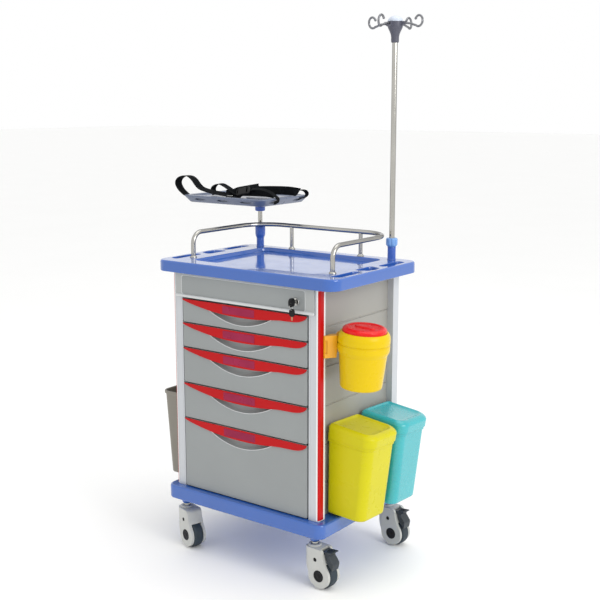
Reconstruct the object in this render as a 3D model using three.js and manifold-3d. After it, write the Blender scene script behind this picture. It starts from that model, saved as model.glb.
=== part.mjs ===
// Hospital emergency trolley (crash cart): moulded top and base on four corner columns, five drawers,
// guard rail, infusion mast, swivelling equipment shelf, sharps container, two lidded bins, open side tub, four casters.
// Millimetres, +Z up, front (drawers) towards -Y, right side (bins) towards +X.
import * as THREE from 'three';
import { mergeVertices } from 'three/addons/utils/BufferGeometryUtils.js';
import Module from 'manifold-3d';

const wasm = await Module();
wasm.setup();

// ---------------------------------------------------------------- driving dimensions
const ORIGIN_X = -48.389, ORIGIN_Y = 39.75;      // shift from the body's centre line to the middle of the whole trolley's box
const GAP = 0.3;                            // clearance between touching pieces
const TOP = { w: 660, d: 450, r: 38, z0: 872, z1: 906, floor: 894 };
const BODY = { w: 540, d: 418, z0: 202.3, z1: 871.7 };
const COL = { w: 35, d: 32, r: 9, bore: 8.9 };
const BASE = { w: 590, d: 466, r: 40, z0: 158, z1: 202, boss: 140 };
const DRAWER_Z = [796, 722, 646, 535.5, 424.5, 204];   // edges between drawer fronts, top to bottom
const DRAWER = { front: 231, y0: -211, y1: -191, tray: 222, flange: 233, back: 168 };
const MAST = { x: 253, y: 190, r: 8, z0: 700, hub: 1543, hooks: 1597, top: 1619 };
const SHELF = { px: -253, py: 190, r: 7, x0: -488, x1: -150, y0: 72, y1: 325, z0: 1048, z1: 1072 };
const RAIL = { r: 7, z: 982, x: 259, yf: -130, yb: 195, bend: 35, corner: 100 };
const SHARPS = { x: 353.5, y: -112, lean: 3.75, pivot: 720 };
const CASTER = { trail: 33, hub: 47, r: 41, halfW: 15 };
const STEM = { fl: [-248, -194], fr: [248, -194], rr: [253, 190], rl: [-253, 190] };
const FLOOR = 6;                                       // height of the wheel treads below which the frame starts
const CASTER_TURN = { fl: -17, fr: -4, rr: -5, rl: -12 };

// ---------------------------------------------------------------- materials
const mat = (c, roughness, metalness = 0) => new THREE.MeshStandardMaterial({ color: c, roughness, metalness });
const M = {
  blue: mat(0x4a78c8, 0.32), paleBlue: mat(0x9cc4ea, 0.25), grey: mat(0xa6aaa9, 0.45), white: mat(0xd9dbde, 0.35, 0.3),
  red: mat(0xd11f28, 0.35), steel: mat(0xb8b9b6, 0.25, 0.9), trayGrey: mat(0xc4c7c6, 0.5), tub: mat(0xb9b4a6, 0.5),
  sharps: mat(0xecc81c, 0.35), lidRed: mat(0xe52e27, 0.35), yellow: mat(0xd9d034, 0.4), teal: mat(0x62cdce, 0.35),
  housing: mat(0xcbccc9, 0.45), tyre: mat(0x35434d, 0.6), black: mat(0x15191d, 0.6), shelf: mat(0xb9c4dc, 0.4),
  hub: mat(0x8e8f9a, 0.45), web: mat(0x14181d, 0.85),
};

// ---------------------------------------------------------------- geometry helpers
function weld(geo) {
  const g0 = geo.index ? geo.toNonIndexed() : geo;
  const g = new THREE.BufferGeometry();
  g.setAttribute('position', g0.getAttribute('position').clone());
  const m = mergeVertices(g, 1e-4);
  const p = m.getAttribute('position').array, idx = m.index.array, out = [];
  let vol = 0;
  for (let i = 0; i < idx.length; i += 3) {
    const [a, b, c] = [idx[i], idx[i + 1], idx[i + 2]];
    if (a === b || b === c || a === c) continue;
    out.push(a, b, c);
    const A = p.slice(a * 3, a * 3 + 3), B = p.slice(b * 3, b * 3 + 3), C = p.slice(c * 3, c * 3 + 3);
    vol += A[0] * (B[1] * C[2] - B[2] * C[1]) - A[1] * (B[0] * C[2] - B[2] * C[0]) + A[2] * (B[0] * C[1] - B[1] * C[0]);
  }
  if (vol < 0) for (let i = 0; i < out.length; i += 3) [out[i + 1], out[i + 2]] = [out[i + 2], out[i + 1]];
  return { p: Float32Array.from(p), t: Uint32Array.from(out) };
}
function solid(geo) {
  const { p, t } = weld(geo);
  return new wasm.Manifold(new wasm.Mesh({ numProp: 3, vertProperties: p, triVerts: t }));
}
const add = (...s) => s.reduce((a, b) => a.add(b));
const cut = (a, ...s) => s.reduce((x, y) => x.subtract(y), a);
function toGeometry(m) {
  const mesh = m.getMesh();
  const g = new THREE.BufferGeometry();
  const n = mesh.numProp, vp = mesh.vertProperties, pos = new Float32Array(vp.length / n * 3);
  for (let i = 0; i < pos.length / 3; i++) for (let k = 0; k < 3; k++) pos[i * 3 + k] = vp[i * n + k];
  g.setAttribute('position', new THREE.BufferAttribute(pos, 3));
  g.setIndex(new THREE.BufferAttribute(Uint32Array.from(mesh.triVerts), 1));
  return g;
}
const V2 = (x, y) => new THREE.Vector2(x, y);
const V3 = (x, y, z) => new THREE.Vector3(x, y, z);
const shape = (pts) => new THREE.Shape(pts.map(([x, y]) => V2(x, y)));
// rounded rectangle outline, n segments a corner
function rr(w, d, r, cx = 0, cy = 0, n = 4) {
  const pts = [];
  [[1, -1, -90], [1, 1, 0], [-1, 1, 90], [-1, -1, 180]].forEach(([sx, sy, a0]) => {
    for (let i = 0; i <= n; i++) {
      const a = THREE.MathUtils.degToRad(a0 + 90 * i / n);
      pts.push([cx + sx * (w / 2 - r) + r * Math.cos(a), cy + sy * (d / 2 - r) + r * Math.sin(a)]);
    }
  });
  return pts;
}
// circle outline; flat = true puts the radius on the flats instead of the corners
function ring(r, n = 24, cx = 0, cy = 0, flat = false) {
  const R = flat ? r / Math.cos(Math.PI / n) : r;
  return Array.from({ length: n }, (_, i) => {
    const a = 2 * Math.PI * (i + 0.5) / n;
    return [cx + R * Math.cos(a), cy + R * Math.sin(a)];
  });
}
const extr = (pts, d) => new THREE.ExtrudeGeometry(shape(pts), { depth: d, bevelEnabled: false, steps: 1 });
const prism = (pts, z0, z1) => solid(extr(pts, z1 - z0).translate(0, 0, z0));
function prismY(ptsXZ, y0, y1) {           // outline in X,Z pulled along Y
  const g = extr(ptsXZ, y1 - y0);
  g.applyMatrix4(new THREE.Matrix4().makeBasis(V3(1, 0, 0), V3(0, 0, 1), V3(0, -1, 0)));
  return solid(g.translate(0, y1, 0));
}
function prismX(ptsYZ, x0, x1) {           // outline in Y,Z pulled along X
  const g = extr(ptsYZ, x1 - x0);
  g.applyMatrix4(new THREE.Matrix4().makeBasis(V3(0, 1, 0), V3(0, 0, 1), V3(1, 0, 0)));
  return solid(g.translate(x0, 0, 0));
}
const box = (x0, x1, y0, y1, z0, z1) => solid(new THREE.BoxGeometry(x1 - x0, y1 - y0, z1 - z0)
  .translate((x0 + x1) / 2, (y0 + y1) / 2, (z0 + z1) / 2));
// skin through stacked outlines [[pts, z], ...], all with the same number of points
function stack(levels) {
  const n = levels[0][0].length, pos = [], idx = [];
  levels.forEach(([pts, z]) => pts.forEach(([x, y]) => pos.push(x, y, z)));
  for (let k = 0; k < levels.length - 1; k++) for (let i = 0; i < n; i++) {
    const j = (i + 1) % n, a = k * n + i, b = k * n + j, c = a + n, d = b + n;
    idx.push(a, b, d, a, d, c);
  }
  const lid = THREE.ShapeUtils.triangulateShape(levels[0][0].map(([x, y]) => V2(x, y)), []);
  lid.forEach(([a, b, c]) => idx.push(a, c, b));
  const o = (levels.length - 1) * n;
  const lid2 = THREE.ShapeUtils.triangulateShape(levels[levels.length - 1][0].map(([x, y]) => V2(x, y)), []);
  lid2.forEach(([a, b, c]) => idx.push(o + a, o + b, o + c));
  const g = new THREE.BufferGeometry();
  g.setAttribute('position', new THREE.Float32BufferAttribute(pos, 3));
  g.setIndex(idx);
  return solid(g);
}
const lathe = (prof, n = 24, x = 0, y = 0) => solid(new THREE.LatheGeometry(prof.map(([r, z]) => V2(r, z)), n, Math.PI / n)
  .rotateX(Math.PI / 2).translate(x, y, 0));
// a curve that passes through its points one step at a time, with even mitres
class Route extends THREE.Curve {
  constructor(pts) { super(); this.pts = pts; }
  getPoint(t) {
    const f = Math.min(Math.max(t, 0), 1) * (this.pts.length - 1), i = Math.min(Math.floor(f + 1e-9), this.pts.length - 2);
    return this.pts[i].clone().lerp(this.pts[i + 1], f - i);
  }
  getPointAt(u) { return this.getPoint(u); }
  getSpacedPoints(n) { return Array.from({ length: n + 1 }, (_, i) => this.getPoint(i / n)); }
  getTangentAt(u) {
    const f = u * (this.pts.length - 1), i = Math.round(f), P = this.pts;
    const a = P[Math.max(i - 1, 0)], b = P[i], c = P[Math.min(i + 1, P.length - 1)];
    const t = V3(0, 0, 0);
    if (i > 0) t.add(b.clone().sub(a).normalize());
    if (i < P.length - 1) t.add(c.clone().sub(b).normalize());
    return t.normalize();
  }
}
const tube = (pts, r, n = 10) => solid(new THREE.ExtrudeGeometry(shape(ring(r, n)), { steps: pts.length - 1, extrudePath: new Route(pts) }));
const arc = (c, u, v, r, a0, a1, n) => Array.from({ length: n + 1 }, (_, i) => {
  const a = THREE.MathUtils.degToRad(a0 + (a1 - a0) * i / n);
  return c.clone().addScaledVector(u, r * Math.cos(a)).addScaledVector(v, r * Math.sin(a));
});
const X = V3(1, 0, 0), Y = V3(0, 1, 0), Z = V3(0, 0, 1);

const cart = new THREE.Group();
cart.name = 'crash_cart';
const inner = new THREE.Group();
inner.position.set(-ORIGIN_X, -ORIGIN_Y, -FLOOR);
cart.add(inner);
function put(name, s, m, parent = inner) {
  const mesh = new THREE.Mesh(toGeometry(s), m);
  mesh.name = name;
  parent.add(mesh);
  return mesh;
}

// ---------------------------------------------------------------- base, columns, panels
{
  let b = stack([[rr(BASE.w - 10, BASE.d - 10, BASE.r - 5), BASE.z0], [rr(BASE.w, BASE.d, BASE.r), BASE.z0 + 6],
    [rr(BASE.w, BASE.d, BASE.r), BASE.z1 - 5], [rr(BASE.w - 8, BASE.d - 8, BASE.r - 4), BASE.z1]]);
  b = cut(b, prism(rr(BASE.w - 150, BASE.d - 60, 25), BASE.z0 - 1, BASE.z0 + 14));
  for (const [sx, sy] of Object.values(STEM)) {
    b = add(b, lathe([[0, BASE.z0 + 4], [18, BASE.z0 + 4], [17.5, BASE.z0], [14, BASE.boss], [0, BASE.boss]], 20, sx, sy));
    b = cut(b, prism(ring(6.6, 14, sx, sy), BASE.boss - 1, 184));
  }
  put('base_board', b, M.blue);
}
function column(sx, sy) {
  const x1 = BODY.w / 2, x0 = x1 - COL.w, y1 = BODY.d / 2, y0 = y1 - COL.d, r = COL.r;
  const pts = [[x0, y0], [x1, y0]];
  for (let i = 0; i <= 3; i++) { const a = Math.PI / 2 * i / 3; pts.push([x1 - r + r * Math.cos(a), y1 - r + r * Math.sin(a)]); }
  pts.push([x0, y1]);
  const q = pts.map(([x, y]) => [sx * x, sy * y]);
  return cut(prism(q, BODY.z0, BODY.z1), prism(ring(COL.bore, 16, sx * 253, sy * 190), BODY.z0 - 1, BODY.z1 + 1));
}
put('column_fl', column(-1, -1), M.white);
put('column_fr', column(1, -1), M.white);
put('column_rl', column(-1, 1), M.white);
put('column_rr', column(1, 1), M.white);
for (const [n, s] of [['trim_left', -1], ['trim_right', 1]]) {
  const a = s * 270.3, b = s * 271.6;
  put(n, box(Math.min(a, b), Math.max(a, b), -199.5, -180, 206, 868), M.red);
}
function sidePanel(s) {
  let p = box(242, 250, -176.7, 176.7, BODY.z0, BODY.z1);
  for (const z of [300, 414, 528, 642, 756]) p = cut(p, box(248.4, 251, -180, 180, z - 1.5, z + 1.5));
  for (let i = 0; i < 5; i++) {                      // moulded ledges that carry the drawer flanges
    const z = DRAWER_Z[i] - 20.6;
    p = add(p, prismY([[243, z], [227, z], [227, z - 5], [243, z - 11]], -174, 174));
  }
  return s > 0 ? p : p.mirror([1, 0, 0]);
}
put('side_panel_left', sidePanel(-1), M.grey);
put('side_panel_right', sidePanel(1), M.grey);
put('back_panel', box(-234.7, 234.7, 199, 205, BODY.z0, BODY.z1), M.grey);

// ---------------------------------------------------------------- top
{
  let t = stack([[rr(TOP.w - 3, TOP.d - 3, TOP.r - 1.5, 0, 0, 5), TOP.z0], [rr(TOP.w, TOP.d, TOP.r, 0, 0, 5), TOP.z0 + 2],
    [rr(TOP.w, TOP.d, TOP.r, 0, 0, 5), TOP.z1 - 4], [rr(TOP.w - 7, TOP.d - 7, TOP.r - 3.5, 0, 0, 5), TOP.z1]]);
  t = cut(t, stack([[rr(452, 346, 26, 0, 7), TOP.floor], [rr(456, 350, 28, 0, 7), TOP.z1 - 4], [rr(460, 354, 30, 0, 7), TOP.z1 + 0.5]]));
  for (const s of [-1, 1]) {
    const q = (pts) => pts.map(([x, y]) => [s * x, y]);
    t = cut(t,
      prism(q([[284, -175], [296, -178], [313, -168], [315, -100], [308, -66], [296, -60], [284, -70]]), 884, 910),
      prism(q([[272, -34], [280, -42], [312, -30], [318, 0], [312, 30], [280, 42], [272, 34]]), 884, 910),
      prism(q([[284, 70], [296, 60], [308, 66], [315, 100], [313, 165], [296, 174], [284, 171]]), 884, 910));
  }
  t = cut(t, prism(ring(9, 16, MAST.x, MAST.y), 870, 908), prism(ring(8, 16, SHELF.px, SHELF.py), 870, 908));
  put('tabletop', t, M.blue);
}

// ---------------------------------------------------------------- fascia and lock
const LOCK = { x: 194, z: 832 };
{
  let f = add(box(-234.5, 234.5, -209.6, -192, 799, 871.7), box(-256, 256, -213.5, -209.3, 799, 871.7),
    prismX([[-213.2, 799], [-218, 800], [-218, 803.5], [-213.2, 806]], -256, 256));
  f = cut(f, prismY(rr(456, 57, 8, -4, 835.5).map(([x, z]) => [x, z]), -216, -211.6));
  f = cut(f, prismY(ring(9.3, 20, LOCK.x, LOCK.z), -220, -185));
  put('top_fascia', f, M.grey);
  let l = add(prismY(ring(8.8, 20, LOCK.x, LOCK.z), -212, -188), prismY(ring(11.5, 20, LOCK.x, LOCK.z), -215.4, -211.9));
  l = cut(l, prismY(ring(5, 20, LOCK.x, LOCK.z), -217, -194));   // round keyway, so the blade can turn
  put('lock_cylinder', l, M.steel);
  let k = add(box(LOCK.x - 1.3, LOCK.x + 1.3, -222, -196, LOCK.z - 4.2, LOCK.z + 4.2),
    prismX(rr(25, 25, 10, -233, LOCK.z, 3), LOCK.x - 3, LOCK.x + 3));
  put('lock_key', k, M.black);
}

// ---------------------------------------------------------------- drawers
const STRIP = [[231, 3], [226, 9], [217, 14.5], [205, 18.5], [188, 21], [160, 22], [138, 22.5], [110, 25], [75, 29], [35, 31.8], [0, 32.5],
  [-35, 32], [-75, 30], [-115, 26], [-150, 21], [-180, 15.6], [-205, 10.4], [-222, 5.8], [-231, 2.5]];
for (let i = 0; i < 5; i++) {
  const n = i + 1, zt = DRAWER_Z[i] - 2, zb = DRAWER_Z[i + 1] + 1.5, g = new THREE.Group();
  inner.add(g);
  // front with a crescent finger scoop that runs up behind the coloured handle strip
  let f = prismY(rr(2 * DRAWER.front, zt - zb, 4, 0, (zt + zb) / 2, 2), DRAWER.y0, DRAWER.y1);
  const sc = [];
  for (let j = 0; j <= 14; j++) {
    const x = -127 + 224 * j / 14, e = 1 - ((x + 15) / 112) ** 2;
    sc.push([x, zt - 25.5 - 30 * Math.max(e, 0)]);
  }
  sc.push([92, zt - 18], [-122, zt - 18]);
  f = cut(f, prismY(sc, DRAWER.y0 - 1, DRAWER.y1 - 6));
  put(`drawer${n}_front`, f, M.grey, g);
  const sp = [...STRIP.map(([x, h]) => [x, zt - h]), [-231, zt], [231, zt]];
  put(`drawer${n}_strip`, prismY(sp, DRAWER.y0 - 4.3, DRAWER.y0 - GAP), M.red, g);
  // tray with flanges that hang on the ledges
  const y0 = DRAWER.y1 + GAP, y1 = DRAWER.back, h0 = zb + 4, h1 = zt - 10;
  let t = add(box(-DRAWER.tray, DRAWER.tray, y0, y1, h0, h1), box(-DRAWER.flange, DRAWER.flange, y0 + 18, y1, zt - 18.3, zt - 15));
  t = cut(t, box(-DRAWER.tray + 3, DRAWER.tray - 3, y0 + 3, y1 - 3, h0 + 3, h1 + 1));
  put(`drawer${n}_tray`, t, M.trayGrey, g);
}

// ---------------------------------------------------------------- guard rail
{
  const b = RAIL.bend, c = RAIL.corner, z = RAIL.z, x = RAIL.x, pts = [];
  pts.push(V3(-x, RAIL.yf, 906.3));
  pts.push(...arc(V3(-x, RAIL.yf + b, z - b), Y, Z, b, 180, 90, 5));
  pts.push(...arc(V3(-x + c, RAIL.yb - c, z), X, Y, c, 180, 90, 8));
  pts.push(...arc(V3(x - c, RAIL.yb - c, z), X, Y, c, 90, 0, 8));
  pts.push(...arc(V3(x, RAIL.yf + b, z - b), Y, Z, b, 90, 180, 5));
  pts.push(V3(x, RAIL.yf, 906.3));
  let rail = tube(pts, RAIL.r, 10);
  for (const sx of [-127, 138]) {
    rail = add(rail, lathe([[0, 906.3], [10, 906.3], [9.5, 909], [6.2, 917], [6.2, z], [0, z]], 10, sx, RAIL.yb));
  }
  for (const sx of [-x, x]) rail = add(rail, lathe([[0, 906.3], [10.5, 906.3], [10, 909], [6.5, 914], [0, 914]], 10, sx, RAIL.yf));
  put('guard_rail', rail, M.steel);
}

// ---------------------------------------------------------------- infusion mast
{
  const { x, y, r } = MAST;
  put('mast_socket', lathe([[8.7, 906.3], [13, 906.3], [12.5, 910], [12.5, 944], [12, 945.7], [8.7, 945.7], [8.7, 906.3]], 20, x, y), M.blue);
  const lobes = (R, d) => Array.from({ length: 32 }, (_, i) => {
    const a = 2 * Math.PI * i / 32, q = R - (i % 4 === 0 ? d : 0);
    return [x + q * Math.cos(a), y + q * Math.sin(a)];
  });
  put('mast_nut', cut(stack([[lobes(13, 0), 946], [lobes(17.3, 1), 952], [lobes(17.6, 1.6), 957], [lobes(17.6, 1.6), 969], [lobes(15.5, 0.5), 972.5]]),
    prism(ring(8.7, 20, x, y), 940, 980)), M.blue);
  put('mast_pole', cut(prism(ring(r, 20, x, y), MAST.z0, 1564), prism(ring(6.6, 12, x, y), MAST.z0 - 1, 1565)), M.steel);
  let hub = lathe([[0, MAST.hub], [10, MAST.hub], [11.6, MAST.hub + 4], [11.4, 1560], [13, 1568], [18, 1578], [22, 1586], [22.5, 1602.7], [0, 1602.7]], 20, x, y);
  for (const [ux, uy] of [[1, 0], [0, 1], [-1, 0], [0, -1]]) {
    const a = box(0, 34, -5.5, 5.5, 1587.5, 1602.7).subtract(prismY([[15, 1580], [36, 1580], [36, 1594]], -6, 6));
    hub = add(hub, a.rotate([0, 0, Math.atan2(uy, ux) * 180 / Math.PI]).translate([x, y, 0]));
  }
  hub = cut(hub, prism(ring(8.6, 20, x, y), MAST.hub - 1, 1564.4));
  // wire hooks: one crossed wire piece with four open loops
  const wr = 2.7, R = 16.2, hz = MAST.hooks;
  let hooks = null, slots = null;
  for (const [ux, uy] of [[1, 0], [0, 1], [-1, 0], [0, -1]]) {
    const u = V3(ux, uy, 0), c = V3(x, y, hz + 5).addScaledVector(u, 78);
    const path = [V3(x, y, hz), V3(x, y, hz).addScaledVector(u, 36), V3(x, y, hz - 2.5).addScaledVector(u, 50),
      ...arc(c, u, Z, R, -125, 165, 15)];
    const h = tube(path, wr, 8);
    hooks = hooks ? add(hooks, h) : h;
    const s = box(0, 37, -3.3, 3.3, hz - 3.3, 1606).rotate([0, 0, Math.atan2(uy, ux) * 180 / Math.PI]).translate([x, y, 0]);
    slots = slots ? add(slots, s) : s;
  }
  put('mast_hub', cut(hub, slots), M.hub);
  put('mast_hooks', hooks, M.steel);
  put('mast_cap', lathe([[0, 1603], [22.3, 1603], [21, 1609], [16.5, 1614.5], [9, 1618], [0, MAST.top]], 20, x, y), M.white);
}

// ---------------------------------------------------------------- equipment shelf with straps
{
  const { px, py, r, x0, x1, y0, y1, z0, z1 } = SHELF;
  put('shelf_socket', lathe([[7.6, 906.3], [12.8, 906.3], [12.2, 910], [12.2, 934], [16.3, 948], [16.5, 969], [14.5, 973], [7.6, 973], [7.6, 906.3]], 20, px, py), M.blue);
  put('shelf_post', prism(ring(r, 18, px, py), 700, z0 - GAP), M.steel);
  put('shelf_hub', lathe([[7.3, 1023], [15, 1023], [16.5, 1026], [16.5, z0 - GAP], [7.3, z0 - GAP], [7.3, 1023]], 20, px, py), M.blue);
  const cx = (x0 + x1) / 2, cy = (y0 + y1) / 2, w = x1 - x0, d = y1 - y0;
  let t = stack([[rr(w - 34, d - 34, 16, cx, cy), z0], [rr(w - 26, d - 26, 18, cx, cy), z0 + 3], [rr(w - 2, d - 2, 20, cx, cy), z1 - 6],
    [rr(w, d, 20, cx, cy), z1 - 3], [rr(w - 4, d - 4, 18, cx, cy), z1]]);
  t = cut(t, stack([[rr(w - 40, d - 40, 10, cx, cy), z1 - 5], [rr(w - 32, d - 32, 12, cx, cy), z1 + 0.1]]));
  for (const sx of [-96, 0, 96]) for (const [a, b] of [[y0 - 5, y0 + 11], [y1 - 11, y1 + 5]])
    t = cut(t, box(cx + sx - 22, cx + sx + 22, a, b, z0 + 9, z0 + 14));
  for (const sy of [-62, 62]) for (const [a, b] of [[x0 - 5, x0 + 11], [x1 - 11, x1 + 5]])
    t = cut(t, box(a, b, cy + sy - 22, cy + sy + 22, z0 + 9, z0 + 14));
  put('shelf_tray', t, M.shelf);
  const strapAlong = (pts, w2, h) => {             // flat webbing: a thin section along a route in one vertical plane
    const P = pts.map(([a, z]) => V2(a, z)), up = [], dn = [];
    P.forEach((p, i) => {
      const q = P[Math.min(i + 1, P.length - 1)].clone().sub(P[Math.max(i - 1, 0)]).normalize(), nrm = V2(-q.y, q.x).multiplyScalar(h / 2);
      up.push([p.x + nrm.x, p.y + nrm.y]); dn.push([p.x - nrm.x, p.y - nrm.y]);
    });
    return prismY([...up, ...dn.reverse()], -w2, w2);
  };
  // long strap: leaves the left end of the tray, stands up in a loop and runs towards the middle of the deck
  put('strap_left', strapAlong([[-486, z1 + 2.2], [-500, z1 + 9], [-513, z1 + 22], [-522, z1 + 38], [-521, z1 + 50], [-508, z1 + 60], [-488, z1 + 64], [-468, z1 + 62],
    [-448, z1 + 53], [-434, z1 + 38], [-424, z1 + 22], [-408, z1 + 12], [-373, z1 + 8], [-340, z1 + 4], [-318, z1 + 2.4]], 12.5, 3).translate([0, 92, 0]), M.web);
  // second strap: stands on its edge, sweeps across the right half of the deck and returns into the right end
  const run = [[-316, 177], [-296, 196], [-272, 214], [-244, 232], [-214, 244], [-184, 252], [-156, 257], [-130, 259], [-113, 253], [-108, 243], [-115, 234], [-144, 232]];
  const far = [], near = [];
  run.forEach((p, i) => {
    const a = run[Math.max(i - 1, 0)], b = run[Math.min(i + 1, run.length - 1)], d = V2(b[0] - a[0], b[1] - a[1]).normalize();
    far.push([p[0] - d.y * 1.5, p[1] + d.x * 1.5]); near.push([p[0] + d.y * 1.5, p[1] - d.x * 1.5]);
  });
  put('strap_right', prism([...near, ...far.reverse()], z1 + 0.4, z1 + 31), M.web);
}

// ---------------------------------------------------------------- sharps container on its bracket
{
  const { x, y, lean, pivot } = SHARPS, n = 28;
  const hang = (m) => m.translate([-x, -y, -pivot]).rotate([0, lean, 0]).translate([x, y, pivot]);   // leans outwards at the top
  const b = lathe([[0, 591], [55.8, 591], [59.3, 596], [67.5, 689], [70.5, 694], [73.5, 700], [73.5, 716], [71.5, 718], [73.5, 721], [72.4, 741], [68.6, 749], [65, 752],
    [62.3, 752], [62.3, 742], [64, 738], [64, 690], [56.3, 597], [0, 594]], n, x, y);
  put('sharps_bucket', hang(b), M.sharps);
  put('sharps_lid', hang(lathe([[0, 742.5], [61.8, 742.5], [61.8, 756], [60.5, 760], [56, 763.5], [50, 765], [0, 765]], n, x, y)), M.lidRed);
  // arm from the front right column, ending in a cradle that follows the collar
  const seg = [];
  for (let i = 0; i <= 7; i++) { const q = (130 + 76 * i / 7) * Math.PI / 180; seg.push([x + 78.5 * Math.cos(q), y + 78.5 * Math.sin(q)]); }
  for (let i = 7; i >= 0; i--) { const q = (130 + 76 * i / 7) * Math.PI / 180; seg.push([x + 68 * Math.cos(q), y + 68 * Math.sin(q)]); }
  let a = add(prism([[271.9, -191], [277, -191], [297, -162], [300, -140], [284, -136], [271.9, -158]], 678, 741), hang(prism(seg, 680, 740)));
  a = cut(a, hang(prism(ring(74, n, x, y), 660, 760)), prism([[275.5, -196], [281, -196], [281, -180], [275.5, -186]], 690, 728));
  put('sharps_bracket', a, M.sharps);
}

// ---------------------------------------------------------------- lidded bins on the right side
const BIN = { px: 264, pz: 474, tilt: 3.5, roll: -2.4 };   // lid hinge line, and the two angles the hanging bins lean at
function bin(name, y0, y1, material) {
  const cy = (y0 + y1) / 2, h = (y1 - y0) / 2;
  const hang = (m) => m.translate([-BIN.px, -cy, -BIN.pz]).rotate([BIN.roll, 0, 0]).rotate([0, BIN.tilt, 0]).translate([BIN.px, cy, BIN.pz]);
  // outline with a tight radius on the wall side and a wide one on the outer side
  const sec = (x0, x1, ya, yb, ri, ro) => [[x1, ya, ro, -90], [x1, yb, ro, 0], [x0, yb, ri, 90], [x0, ya, ri, 180]].flatMap(([px, py, r, a0]) => {
    const cx = px === x1 ? x1 - r : x0 + r, cyy = py === yb ? yb - r : ya + r;
    return Array.from({ length: 5 }, (_, i) => {
      const q = (a0 + 22.5 * i) * Math.PI / 180;
      return [cx + r * Math.cos(q), cyy + r * Math.sin(q)];
    });
  });
  let b = stack([[sec(276, 386, y0 + 16, y1 - 16, 5, 14), 208], [sec(273.5, 391, y0 + 11.5, y1 - 11.5, 7, 18), 212.5], [sec(258, 400, y0 + 3.2, y1 - 3.2, 8, 21), 446]]);
  b = cut(b, stack([[sec(277.3, 387.4, y0 + 15.2, y1 - 15.2, 5, 14), 215.5], [sec(261.2, 396.6, y0 + 6.4, y1 - 6.4, 6, 18), 447]]));
  b = add(b, box(255.8, 259.2, cy - h + 26, cy + h - 26, 430, 445.9), box(255.8, 258.4, cy - h + 26, cy + h - 26, 430, 466));
  put(`bin_${name}`, hang(b), material);
  // lid: gently sloping crown, skirt on three sides, hinged along its inner edge
  let l = stack([[sec(260.3, 404, y0 + 1, y1 - 1, 6, 18), 432], [sec(260.3, 407.5, y0, y1, 7, 20), 458], [sec(260.3, 406.5, y0 + 1, y1 - 1, 7, 20), 465],
    [sec(260.3, 398, y0 + 8, y1 - 8, 8, 18), 479]]);
  l = cut(l, prismY([[250, 474], [300, 475], [350, 472.5], [390, 468], [412, 462], [414, 500], [250, 500]], y0 - 5, y1 + 5));
  l = cut(l, stack([[sec(254, 401.6, y0 + 2.4, y1 - 2.4, 8, 18), 431], [sec(254, 404, y0 + 2.4, y1 - 2.4, 8, 18), 453]]));
  put(`bin_${name}_lid`, hang(l), material);
}
bin('yellow', -150, 2, M.yellow);
bin('teal', 18, 172, M.teal);

// ---------------------------------------------------------------- open tub on the left side
{
  const sec = (x0, x1, ya, yb, r) => rr(x1 - x0, yb - ya, r, (x0 + x1) / 2, (ya + yb) / 2, 4);
  let t = stack([[sec(-359, -262, -142, 137, 16), 202.5], [sec(-363, -259, -145, 140, 20), 207.5], [sec(-380, -256, -153, 148, 24), 462], [sec(-385, -256, -155, 150, 26), 464], [sec(-385, -256, -155, 150, 26), 472]]);
  t = cut(t, stack([[sec(-359, -262.5, -141, 136, 16), 211], [sec(-377, -259, -150, 145, 22), 473]]));
  put('side_tub', t, M.tub);
}

// ---------------------------------------------------------------- casters
function caster(tag, pedal) {
  const g = new THREE.Group();
  g.position.set(...STEM[tag], 0);
  g.rotation.z = THREE.MathUtils.degToRad(CASTER_TURN[tag]);
  inner.add(g);
  const tx = CASTER.trail, hz = CASTER.hub, R = CASTER.r;
  const at = (r, a) => [tx + r * Math.cos(a * Math.PI / 180), hz + r * Math.sin(a * Math.PI / 180)];
  // moulded body: block over the wheel with a cheek down each side, rounded towards the swivel end
  const out = [[-25.5, 121], [-20, 126], [38, 126], [44, 122], [46, 114], [47, 104], [51.5, 92], [56, 80]];
  for (let a = 40; a >= -180; a -= 20) out.push(at(37, a));
  out.push([-9, 60], [-17, 75], [-24, 90], [-25.5, 100]);
  const W = 25.5, plan = [[80, W], [0, W]];
  for (let i = 1; i < 12; i++) plan.push([-W * Math.sin(Math.PI * i / 12), W * Math.cos(Math.PI * i / 12)]);
  plan.push([0, -W], [80, -W]);
  let h = prismY(out.reverse(), -26, 26).intersect(prism(plan, 0, 140));
  h = cut(h, prismY(ring(43, 32, tx, hz), -16.6, 16.6), prismY(ring(5.6, 12, tx, hz), -27, 27));
  if (pedal) h = cut(h, box(33.2, 60, -16.6, 16.6, 111, 130));
  h = add(h, lathe([[0, 120], [20, 120], [20, 131], [7, 131], [7, 139.7], [6, 139.7], [6, 181], [0, 181]], 16));
  put(`caster_${tag}_housing`, h, M.housing, g);
  let w = prismY(ring(R, 40, tx, hz, true), -CASTER.halfW, CASTER.halfW);
  w = add(w, prismY(ring(11, 16, tx, hz), -16.2, 16.2), prismY(ring(5, 12, tx, hz), -25, 25));
  put(`caster_${tag}_wheel`, w, M.tyre, g);
  if (pedal) {
    const p = [[34.4, 113.4], [34.4, 121], [72, 124], [74, 121], [66, 116], [62, 110], [70, 100], [77, 90], [77, 84], at(46, 28), at(46, 36), at(46, 45), at(46, 54),
      [55, 91.5], [50.6, 104], [49.6, 113.4]];
    put(`caster_${tag}_pedal`, prismY(p, -16, 16), M.tyre, g);
  }
}
caster('fl', false);
caster('fr', true);
caster('rr', true);
caster('rl', false);

export default cart;
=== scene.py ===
import bpy, bmesh, math
from mathutils import Vector, Matrix


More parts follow.
